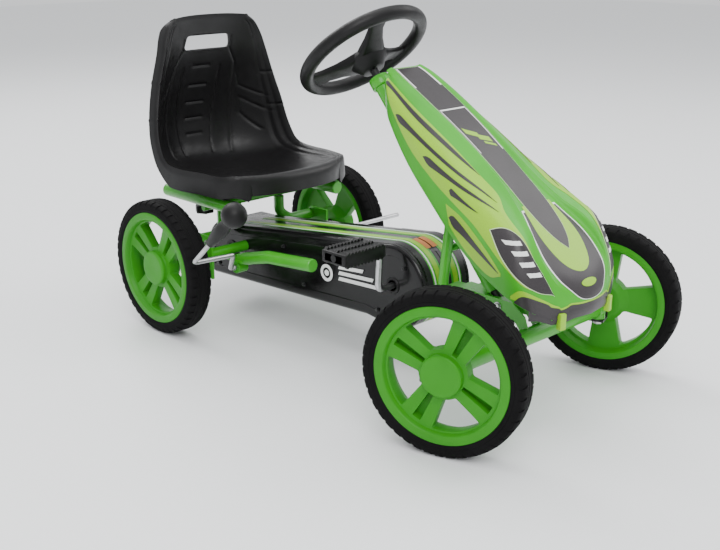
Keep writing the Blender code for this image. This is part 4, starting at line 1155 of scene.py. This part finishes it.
# ---------------------------------------------------------------- steering
class KART_OT_steering(bpy.types.Operator):
    """Make the steering wheel, the column and its tube, and the front axle's joints"""
    bl_idname = "kart.steering"
    bl_label = "Steering"

    def execute(self, context):
        ring = [(0.1125 + 0.0122 * math.cos(a) + 0.0003, 0.063 + 0.0125 * math.sin(a))
                for a in (math.tau * i / 24 for i in range(24))]
        grip = turned(ring[::-1], 120, True)
        hub = turned([(0.0, 0.0600), (0.0200, 0.0596), (0.0290, 0.0582), (0.0345, 0.0545), (0.0370, 0.0480),
                      (0.0345, 0.0415), (0.0255, 0.0300), (0.0205, 0.0235), (0.0190, 0.0228), (0.0, 0.0228)],
                     64)
        spokes = []
        for angle, inner, outer in ((100, 0.034, 0.024), (220, 0.026, 0.015), (340, 0.026, 0.015)):
            spokes.append(moved(spoke_shape(inner, outer), Matrix.Rotation(math.radians(angle), 4, "Z")))
        add_piece("steering_wheel_grip", joined(grip, hub, *spokes), COLUMN_TURNED, "black_plastic",
                  "steering", ["steering_wheel"], 40)
        cap = turned([(0.0, 0.0628), (0.0150, 0.0624), (0.0192, 0.0612), (0.0202, 0.0594), (0.0, 0.0590)],
                     48)
        add_piece("steering_wheel_cap", cap, COLUMN_TURNED, "case_plastic", "steering", (),
                  40)
        sleeve = [(0.0185, 0.0050), (0.0180, 0.0060), (0.0090, 0.0060), (0.0086, -0.4245), (0.0138, -0.4248),
                  (0.0140, -0.4240), (0.0140, -0.0135), (0.0146, -0.0126), (0.0180, -0.0120),
                  (0.0185, -0.0112)]
        add_piece("steering_head_tube", turned(sleeve[::-1], 48, True), COLUMN, "green_paint",
                  "frame", ["steering_column_tube"])
        dress("black_steel", "steering_column", "tie_rod")

        beam = tube([(-KINGPIN_X, 0, 0.127), (KINGPIN_X, 0, 0.127)], 0.0145, 0, 8)
        bosses = []
        for side in (1, -1):
            boss = turned([(0.0122, 0.1560), (0.0054, 0.1560), (0.0054, 0.1080), (0.0122, 0.1080),
                           (0.0125, 0.1084), (0.0125, 0.1556)], 40, True)
            bosses.append(moved(boss, Matrix.Translation((side * KINGPIN_X, 0, 0))))
            weld = [(0.0150 + 0.0014 * math.cos(a), 0.0014 * math.sin(a))
                    for a in (math.tau * i / 8 for i in range(8))]
            bosses.append(moved(turned(weld, 32, True), Matrix.Translation((side * 0.1745, 0, 0.127))
                                @ Matrix.Rotation(math.pi / 2, 4, "Y")))
        add_piece("front_beam_tube", joined(beam, *bosses), KART, "green_paint", "frame",
                  ["front_axle_beam"])
        for label, side in SIDES:
            place = knuckle_place(side)
            dress("black_steel", f"knuckle_bracket_{label}")
            head = moved(plate([hexagon(0.0085)], 0.0048, 0.0006), Matrix.Translation((0, 0, 0.1630)))
            nut = moved(plate([hexagon(0.0085)], 0.0055, 0.0006), Matrix.Translation((0, 0, 0.1008)))
            shank = tube([(0, 0, 0.0968), (0, 0, 0.1610)], 0.0050, 0)
            add_piece(f"kingpin_hex_bolt_{label}", joined(head, nut, shank), place, "bright_steel",
                      f"knuckle_{label}", [f"kingpin_bolt_{label}"])
        return {"FINISHED"}


def spoke_shape(inner, outer):
    """One dished spoke from the hub to the grip, half widths at its two ends."""
    rows = [(0.004, inner * 0.95, 0.0500, 0.0100), (0.034, inner * 0.92, 0.0505, 0.0095),
            (0.055, (inner + outer) / 2 * 0.86, 0.0555, 0.0070), (0.080, outer * 0.92, 0.0605, 0.0060),
            (0.098, outer * 1.12, 0.0630, 0.0058), (0.108, outer * 1.40, 0.0635, 0.0056)]
    loops = []
    for x, half, z, thick in rows:
        loop = []
        for step in range(16):
            a = math.tau * step / 16
            flat_y = math.copysign(abs(math.cos(a)) ** 0.45, math.cos(a))
            flat_z = math.copysign(abs(math.sin(a)) ** 0.55, math.sin(a))
            loop.append((x, half * flat_y, z + thick * flat_z))
        loops.append(loop)
    return lofted(loops)


# ---------------------------------------------------------------- frame
class KART_OT_frame(bpy.types.Operator):
    """Make the green tubes, the channel, the beam, the bearing plates and their bolts"""
    bl_idname = "kart.frame_tubes"
    bl_label = "Frame"

    def execute(self, context):
        green = "green_paint"
        dress(green, "front_channel", "main_beam", "bottom_bracket")
        for label, side in SIDES:
            dress(green, f"rear_bearing_plate_{label}")
            dress("black_plastic", f"rear_bearing_{label}", f"axle_spacer_{label}")
            post = tube([(side * 0.0750, 0.735, 0.2205), (side * 0.0750, 0.735, 0.185),
                         (side * 0.090, 0.720, 0.1700), (side * 0.1495, 0.720, 0.1700)], 0.0110, 0.02)
            add_piece(f"seat_post_tube_{label}", post, KART, green, "frame", [f"seat_post_{label}"])
            rail = tube([(side * 0.130, 0.610, 0.249), (side * 0.130, 0.845, 0.249)], 0.0135, 0, 5)
            add_piece(f"seat_rail_tube_{label}", rail, KART, green, "frame", [f"seat_rail_{label}"])
            x = side * 0.100
            side_tube = tube([(x, 0.430, 0.170), (x, 0.560, 0.158), (x, 0.650, 0.1340)], 0.0125, 0.06, 6)
            tail = block((x - 0.0140, 0.628, 0.1310), (x + 0.0140, 0.708, 0.1368), 0.0012)
            eye = turned([(0.0130, 0.0110), (0.0125, 0.0115), (0.0052, 0.0115), (0.0048, 0.0110),
                          (0.0048, -0.0110), (0.0052, -0.0115), (0.0125, -0.0115), (0.0130, -0.0110)], 40,
                         True)
            eye.transform(Matrix.Translation((x, 0.650, 0.120)) @ Matrix.Rotation(math.pi / 2, 4, "Y"))
            add_piece(f"side_tube_{label}", joined(side_tube, tail, eye), KART, green, "frame",
                      [f"side_rail_{label}"])
            stay = tube([(side * 0.0193, 0.145, 0.163), (side * 0.060, 0.145, 0.163),
                         (side * 0.060, 0.145, 0.200), (side * 0.060, 0.130, 0.330),
                         (side * 0.060, 0.150, 0.356)], 0.0090, 0.028, 5)
            add_piece(f"fairing_stay_{label}", stay, KART, green, "frame", [f"fairing_post_{label}"])
            brace = tube([(side * 0.0145, 0.143, 0.255), (side * 0.0505, 0.140, 0.255)], 0.0060, 0)
            add_piece(f"fairing_cross_stay_{label}", brace, KART, green, "frame",
                      [f"fairing_brace_{label}"])
        for name, node, half, y, z, radius in (
                ("rear_tie_tube", "rear_cross_tube", 0.1497, 0.682, 0.148, 0.0105),
                ("seat_tie_tube", "seat_cross_tube", 0.122, 0.735, 0.228, 0.0072),
                ("fairing_head_bar", "fairing_top_bar", 0.07, 0.153, 0.374, 0.0080)):
            add_piece(name, tube([(-half, y, z), (half, y, z)], radius, 0, 5), KART, green, "frame", [node])

        bolts = []
        for side in (1, -1):
            for y, z in ((0.060, 0.1660), (0.120, 0.1660)):
                bolts.append(bolt_head((side * 0.0190, y, z), (side, 0, 0), 0.0058))
            for y, z in ((0.682, 0.112), (0.682, 0.172), (0.735, 0.158)):
                bolts.append(bolt_head((side * 0.1550, y, z), (side, 0, 0), 0.0052))
            bolts.append(bolt_head((side * 0.100, 0.640, 0.1466), (0, 0.3, 1), 0.0056))
            bolts.append(bolt_head((side * 0.1155, 0.650, 0.120), (side, 0, 0), 0.0052))
        add_piece("frame_bolts", joined(*bolts), KART, "bright_steel", "frame", ())
        return {"FINISHED"}


def bolt_head(foot, outwards, radius):
    """A hexagon head on its washer."""
    washer = turned([(radius * 1.25, 0.0011), (radius * 0.2, 0.0011), (radius * 0.2, -0.0004),
                     (radius * 1.25, -0.0004)], 28, True)
    head = moved(plate([hexagon(radius)], 0.0036, 0.0007), Matrix.Translation((0, 0, 0.0027)))
    return moved(joined(washer, head), along(foot, Vector(foot) + Vector(outwards)))


# ---------------------------------------------------------------- drive
class KART_OT_drive(bpy.types.Operator):
    """Make the crank, the pedals with their toothed edges and the rear axle"""
    bl_idname = "kart.drive"
    bl_label = "Drive"

    def execute(self, context):
        place = KART @ Matrix.Translation(CRANK)
        arm, end, throw = 0.098, 0.203, CRANK_LENGTH
        crank = tube([(-end, -0.005, throw), (-arm, -0.005, throw), (-arm, 0, 0), (arm, 0, 0),
                      (arm, 0.005, -throw), (end, 0.005, -throw)], 0.0060, 0.012, 6)
        add_piece("crank_rod", crank, place, "bright_steel", "crank", ["crank"])
        dress("chain_steel", "chainring", "chain", "rear_sprocket")
        dress("bright_steel", "rear_axle")
        for label, side in SIDES:
            spindle = place @ Matrix.Translation((0, side * 0.005, -side * throw))
            low, high = sorted((side * 0.1130, side * 0.2080))
            core = block((low, -0.0240, -0.0100), (high, 0.0240, 0.0100), 0.0035, 3)
            ends = [block((low, -0.0290, -0.0105), (low + 0.0070, 0.0290, 0.0105), 0.0028, 3),
                    block((high - 0.0070, -0.0290, -0.0105), (high, 0.0290, 0.0105), 0.0028, 3)]
            edges = [block((low + 0.002, y - 0.0035, -0.0105), (high - 0.002, y + 0.0035, 0.0105), 0.0020, 2)
                     for y in (-0.0250, 0.0250)]
            hollow = tube([(low - 0.01, 0, 0), (high + 0.01, 0, 0)], 0.0064, 0, 5)
            body = cut(core, hollow)
            add_piece(f"pedal_{label}_block", joined(body, *ends, *edges), spindle, "black_plastic",
                      f"pedal_{label}", [f"pedal_{label}"], 40)
            pitch = 0.0078
            outline = ((0, 0.0096), (pitch * 0.55, 0.0134), (pitch * 0.8, 0.0134), (pitch, 0.0096))
            tooth = lofted([[(x, y, z) for x, z in outline] for y in (-0.0034, 0.0034)])
            rows = repeated(tooth, row_tree(), {"Count": 11, "Step": (pitch, 0, 0),
                                                "Finish": finish("black_plastic")})
            rows.transform(Matrix.Translation((low + 0.0045, 0, 0)))
            sets = []
            for y in (-0.0250, 0.0, 0.0250):
                for flip in (0, math.pi):
                    sets.append(moved(rows.copy(), Matrix.Translation(((low + high) / 2, y, 0))
                                      @ Matrix.Rotation(flip, 4, "Y")
                                      @ Matrix.Translation((-(low + high) / 2, 0, 0))))
            rows.free()
            add_piece(f"pedal_{label}_teeth", joined(*sets), spindle, "black_plastic",
                      f"pedal_{label}", ())
        return {"FINISHED"}


# ---------------------------------------------------------------- chain case
CASE_DRUM = (0.264, 0.160)
CASE_DRUM_RADIUS = 0.078
CASE_TOP_BACK = (0.715, 0.184)
CASE_FACE = 0.0606
EMBLEM = (0.434, 0.147)


def case_outline(inset=0.0):
    """The case from the side as (y, z) points, pulled in by the inset."""
    return [*arc(CASE_DRUM_RADIUS - inset, 78, 282, 40, CASE_DRUM), (0.330, 0.090 + inset),
            (0.790 - inset * 0.6, 0.066 + inset), (0.806 - inset, 0.074 + inset * 0.6),
            *arc(0.050 - inset, -20, 75, 14, (0.756, 0.134)), (CASE_TOP_BACK[0], CASE_TOP_BACK[1] - inset)]


class KART_OT_chain_case(bpy.types.Operator):
    """Make the chain case halves with their screws and collars, and the strip of stickers along the top"""
    bl_idname = "kart.chain_case"
    bl_label = "Chain case"

    def execute(self, context):
        for label, side in SIDES:
            layers = [(0.0003, 0.0), (0.0520, 0.0), (0.0560, 0.0006), (0.0592, 0.0024), (0.0612, 0.0050),
                      (0.0620, 0.0085), (0.0620, 0.0200), (0.0606, 0.0214)]
            shell = bmesh.new()
            loops = [[shell.verts.new((side * x, y, z)) for y, z in case_outline(inset)]
                     for x, inset in layers]
            count = len(loops[0])
            for one, two in zip(loops, loops[1:]):
                for i in range(count):
                    j = (i + 1) % count
                    shell.faces.new((one[i], one[j], two[j], two[i]))
            shell.faces.new(loops[-1])
            bmesh.ops.recalc_face_normals(shell, faces=shell.faces)
            face = max(shell.faces, key=lambda f: f.calc_area())
            if face.normal.x * side < 0:
                bmesh.ops.reverse_faces(shell, faces=shell.faces)
            thing = temporary(shell)
            wall = thing.modifiers.new("wall", "SOLIDIFY")
            wall.thickness = 0.0020
            wall.offset = -1
            solid = from_object(thing)
            holes = [tube([(-0.09, y, z), (0.09, y, z)], radius, 0, 6)
                     for (y, z), radius in ((CRANK.yz, 0.0100), ((WHEELBASE, TYRE_RADIUS), 0.0120),
                                            (BRAKE.yz, 0.0070), ((0.682, 0.148), 0.0115))]
            notch = block((-0.0156, 0.150, 0.125), (0.0156, 0.205, 0.1765), 0.0002)
            for hole in (*holes, notch):
                solid = cut(solid, hole)
            add_piece(f"case_half_{label}", solid, KART, "case_plastic", "frame",
                      [f"chain_case_{label}"], 30)
            screws = [bolt_head((side * CASE_FACE, y, z), (side, 0, 0), 0.0034)
                      for y, z in ((0.235, 0.200), (0.300, 0.108), (0.500, 0.108), (0.560, 0.172),
                                   (0.770, 0.092))]
            add_piece(f"case_screws_{label}", joined(*screws), KART, "black_steel", "frame", ())
            collars = []
            for r, (y, z) in ((0.0100, CRANK.yz), (0.0120, (WHEELBASE, TYRE_RADIUS))):
                section = [(r * 1.55, 0.0010), (r * 1.45, 0.0022), (r * 1.06, 0.0022), (r * 1.02, 0.0010),
                           (r * 1.02, -0.0012), (r * 1.55, -0.0012)]
                collars.append(moved(turned(section, 40, True),
                                     along((side * CASE_FACE, y, z), (side * 0.08, y, z))))
            add_piece(f"case_collars_{label}", joined(*collars), KART, "black_plastic", "frame", ())
        emblems = []
        for side in (1, -1):
            ring = arc(0.0165, 0, 352.5, 47, EMBLEM)
            hole = arc(0.0105, 0, 345, 23, EMBLEM)
            dot = arc(0.0058, 0, 340, 17, EMBLEM)
            flashes = [[(0.402, 0.140 + rise), (0.398 - run, 0.146 + rise), (0.395 - run, 0.153 + rise),
                        (0.399, 0.147 + rise)]
                       for rise, run in ((0.0, 0.104), (0.011, 0.086), (0.022, 0.060))]
            emblems.append(moved(plate([ring, hole, dot, *flashes], 0.0008, 0.0001), across(side * 0.0622)))
        add_piece("case_side_emblem", joined(*emblems), KART, "white_film", "frame", ())
        # The strips wrap from the top, over the drum and down its front.
        for name, inner, outer, look, start, stop in (
                ("green_strip", 0.010, 0.036, "green_film", 0.0, 1.0),
                ("lime_strip", 0.015, 0.026, "lime_film", 0.0, 1.0),
                ("white_strip", 0.030, 0.033, "white_film", 0.0, 1.0),
                ("orange_patch", 0.002, 0.014, "orange_film", 0.42, 0.54)):
            bands = []
            for side in (1, -1):
                bands.append(case_band(side * inner, side * outer, start, stop,
                                       0.0004 if name == "green_strip" else 0.0008))
            add_piece(f"case_{name}", joined(*bands), KART, look, "frame", (), 50)
        shades = [case_band(side * 0.0365, side * 0.0575, 0.30, 1.0, 0.0005) for side in (1, -1)]
        shades += [case_band(side * 0.0010, side * 0.0095, 0.56, 1.0, 0.0006) for side in (1, -1)]
        add_piece("case_ribbed_film", joined(*shades), KART, "stripe_film", "frame", (),
                  50)
        return {"FINISHED"}


def case_band(x_in, x_out, start, stop, lift):
    """A film along the case's top and round the drum; start and stop are shares of that run."""
    drum = Vector(CASE_DRUM)
    bend = [Vector(point) for point in arc(CASE_DRUM_RADIUS, 78, 228, 44, CASE_DRUM)]
    run = [Vector(CASE_TOP_BACK).lerp(bend[0], i / 24) for i in range(25)] + bend[1:]
    low, high = int(start * (len(run) - 1)), int(stop * (len(run) - 1))
    run = run[low:high + 1]
    loops = []
    for index, point in enumerate(run):
        step = run[min(index + 1, len(run) - 1)] - run[max(index - 1, 0)]
        out = Vector((step.y, -step.x)).normalized()
        if out.dot(point - Vector((point.x if point.x > drum.x else drum.x, drum.y - 0.01))) < 0:
            out.negate()
        corners = []
        for x, up in ((x_in, lift), (x_out, lift), (x_out, -0.0004), (x_in, -0.0004)):
            fall = max(abs(x) - 0.0540, 0) * 0.25
            flat = point + out * (up - fall)
            corners.append((x, flat.x, flat.y))
        loops.append(corners)
    return lofted(loops)


# ---------------------------------------------------------------- brake
class KART_OT_brake(bpy.types.Operator):
    """Make the brake bar and its ball grip"""
    bl_idname = "kart.brake"
    bl_label = "Brake"

    def execute(self, context):
        place = KART @ Matrix.Translation(BRAKE)
        bar_y, bar_z = -0.080, 0.056
        knob = Vector((-0.267, -0.207, 0.174))
        corner = Vector((-0.267, bar_y, bar_z + 0.004))
        start = corner.lerp(knob, 0.42)
        bar_rod = tube([(0.2700, bar_y, bar_z - 0.003), (0.1480, bar_y, bar_z - 0.003), (0.1240, 0, 0),
                        (-0.1240, 0, 0), (-0.1760, bar_y, bar_z), corner, start], 0.0045, 0.010, 5)
        add_piece("brake_rod", bar_rod, place, "bright_steel", "brake", ["brake_bar"])
        length = (knob - start).length
        radius = 0.0230
        profile = [(radius * math.sin(math.radians(a)), length + radius * math.cos(math.radians(a)))
                   for a in range(0, 151, 6)]
        profile += [(0.0108, length - 0.0225), (0.0104, length * 0.66), (0.0124, length * 0.58),
                    (0.0128, length * 0.42), (0.0110, length * 0.20), (0.0084, 0.0012), (0.0078, 0.0003),
                    (0.0, 0.0003)]
        add_piece("brake_ball_grip", turned(profile, 64), place @ along(start, knob),
                  "black_plastic", "brake", ["brake_grip"], 40)
        return {"FINISHED"}


# ---------------------------------------------------------------- studio
LIGHTS = (("window_light", (-2.2, -2.6, 3.2), 2.4, 118), ("fill_light", (2.8, -1.2, 2.6), 2.4, 52),
          ("back_light", (0.4, 2.8, 3.0), 2.4, 90), ("top_light", (0.0, 0.0, 3.6), 3.0, 60))
LIGHT_AIM = Vector((0, 0, 0.25))
CAMERA_STAND = Vector((-1.3528, -0.9887, 0.7667))


class KART_OT_studio(bpy.types.Operator):
    """Lay the floor, hang the soft lights and set the camera"""
    bl_idname = "kart.studio"
    bl_label = "Studio"

    def execute(self, context):
        studio = context.scene.kart_studio
        paper = bmesh.new()
        bmesh.ops.create_grid(paper, x_segments=8, y_segments=8, size=9.0)
        mesh = bpy.data.meshes.new("studio_floor")
        paper.to_mesh(mesh)
        paper.free()
        studio_floor("kart_floor_paper", tuple(studio.floor))
        mesh.materials.append(finish("floor_paper"))
        ground = bpy.data.objects.new("studio_floor", mesh)
        context.scene.collection.objects.link(ground)
        world = bpy.data.worlds.new("studio")
        world.use_nodes = True
        background = world.node_tree.nodes["Background"]
        background.inputs["Color"].default_value = (0.97, 0.985, 1.0, 1)
        background.inputs["Strength"].default_value = 0.95
        context.scene.world = world
        for name, spot, size, power in LIGHTS:
            lamp = bpy.data.lights.new(name, "AREA")
            lamp.size = size
            lamp.energy = power
            holder = bpy.data.objects.new(name, lamp)
            holder.location = spot
            holder.rotation_euler = (Vector(spot) - LIGHT_AIM).to_track_quat("Z", "Y").to_euler()
            context.scene.collection.objects.link(holder)
        camera = bpy.data.cameras.new("studio_camera")
        camera.lens = studio.lens
        camera.sensor_width = 36
        stand = bpy.data.objects.new("studio_camera", camera)
        back = Vector((math.sin(studio.azimuth) * math.cos(studio.elevation),
                       -math.cos(studio.azimuth) * math.cos(studio.elevation), math.sin(studio.elevation)))
        stand.location = KART @ CAMERA_STAND
        stand.rotation_euler = (-back).to_track_quat("-Z", "Y").to_euler()
        context.scene.collection.objects.link(stand)
        context.scene.camera = stand
        return {"FINISHED"}


class KART_PT_builder(bpy.types.Panel):
    """Sizes, colours and the steps that build the kart"""
    bl_idname = "KART_PT_builder"
    bl_label = "Pedal go kart"
    bl_space_type = "VIEW_3D"
    bl_region_type = "UI"
    bl_category = "Kart"

    def draw(self, context):
        layout = self.layout
        scene = context.scene
        for settings in (scene.kart_colours, scene.kart_wheels, scene.kart_seat, scene.kart_fairing,
                         scene.kart_studio):
            column = layout.column(align=True)
            for name in settings.__annotations__:
                column.prop(settings, name)
        for step in STEPS:
            layout.operator(step.bl_idname)


SETTINGS = {"kart_colours": KartColours, "kart_wheels": KartWheels, "kart_seat": KartSeat,
            "kart_fairing": KartFairing, "kart_studio": KartStudio}
STEPS = (KART_OT_finishes, KART_OT_wheels, KART_OT_fairing, KART_OT_seat, KART_OT_steering,
         KART_OT_frame, KART_OT_drive, KART_OT_chain_case, KART_OT_brake, KART_OT_studio)


def register():
    for name, settings in SETTINGS.items():
        bpy.utils.register_class(settings)
        setattr(bpy.types.Scene, name, bpy.props.PointerProperty(type=settings))
    for step in STEPS:
        bpy.utils.register_class(step)
    bpy.utils.register_class(KART_PT_builder)


def unregister():
    bpy.utils.unregister_class(KART_PT_builder)
    for step in reversed(STEPS):
        bpy.utils.unregister_class(step)
    for name, settings in SETTINGS.items():
        delattr(bpy.types.Scene, name)
        bpy.utils.unregister_class(settings)


def main():
    register()
    bpy.ops.kart.finishes()
    bpy.ops.kart.wheels()
    bpy.ops.kart.fairing()
    bpy.ops.kart.seat()
    bpy.ops.kart.steering()
    bpy.ops.kart.frame_tubes()
    bpy.ops.kart.drive()
    bpy.ops.kart.chain_case()
    bpy.ops.kart.brake()
    bpy.ops.kart.studio()


if __name__ == "__main__":
    main()
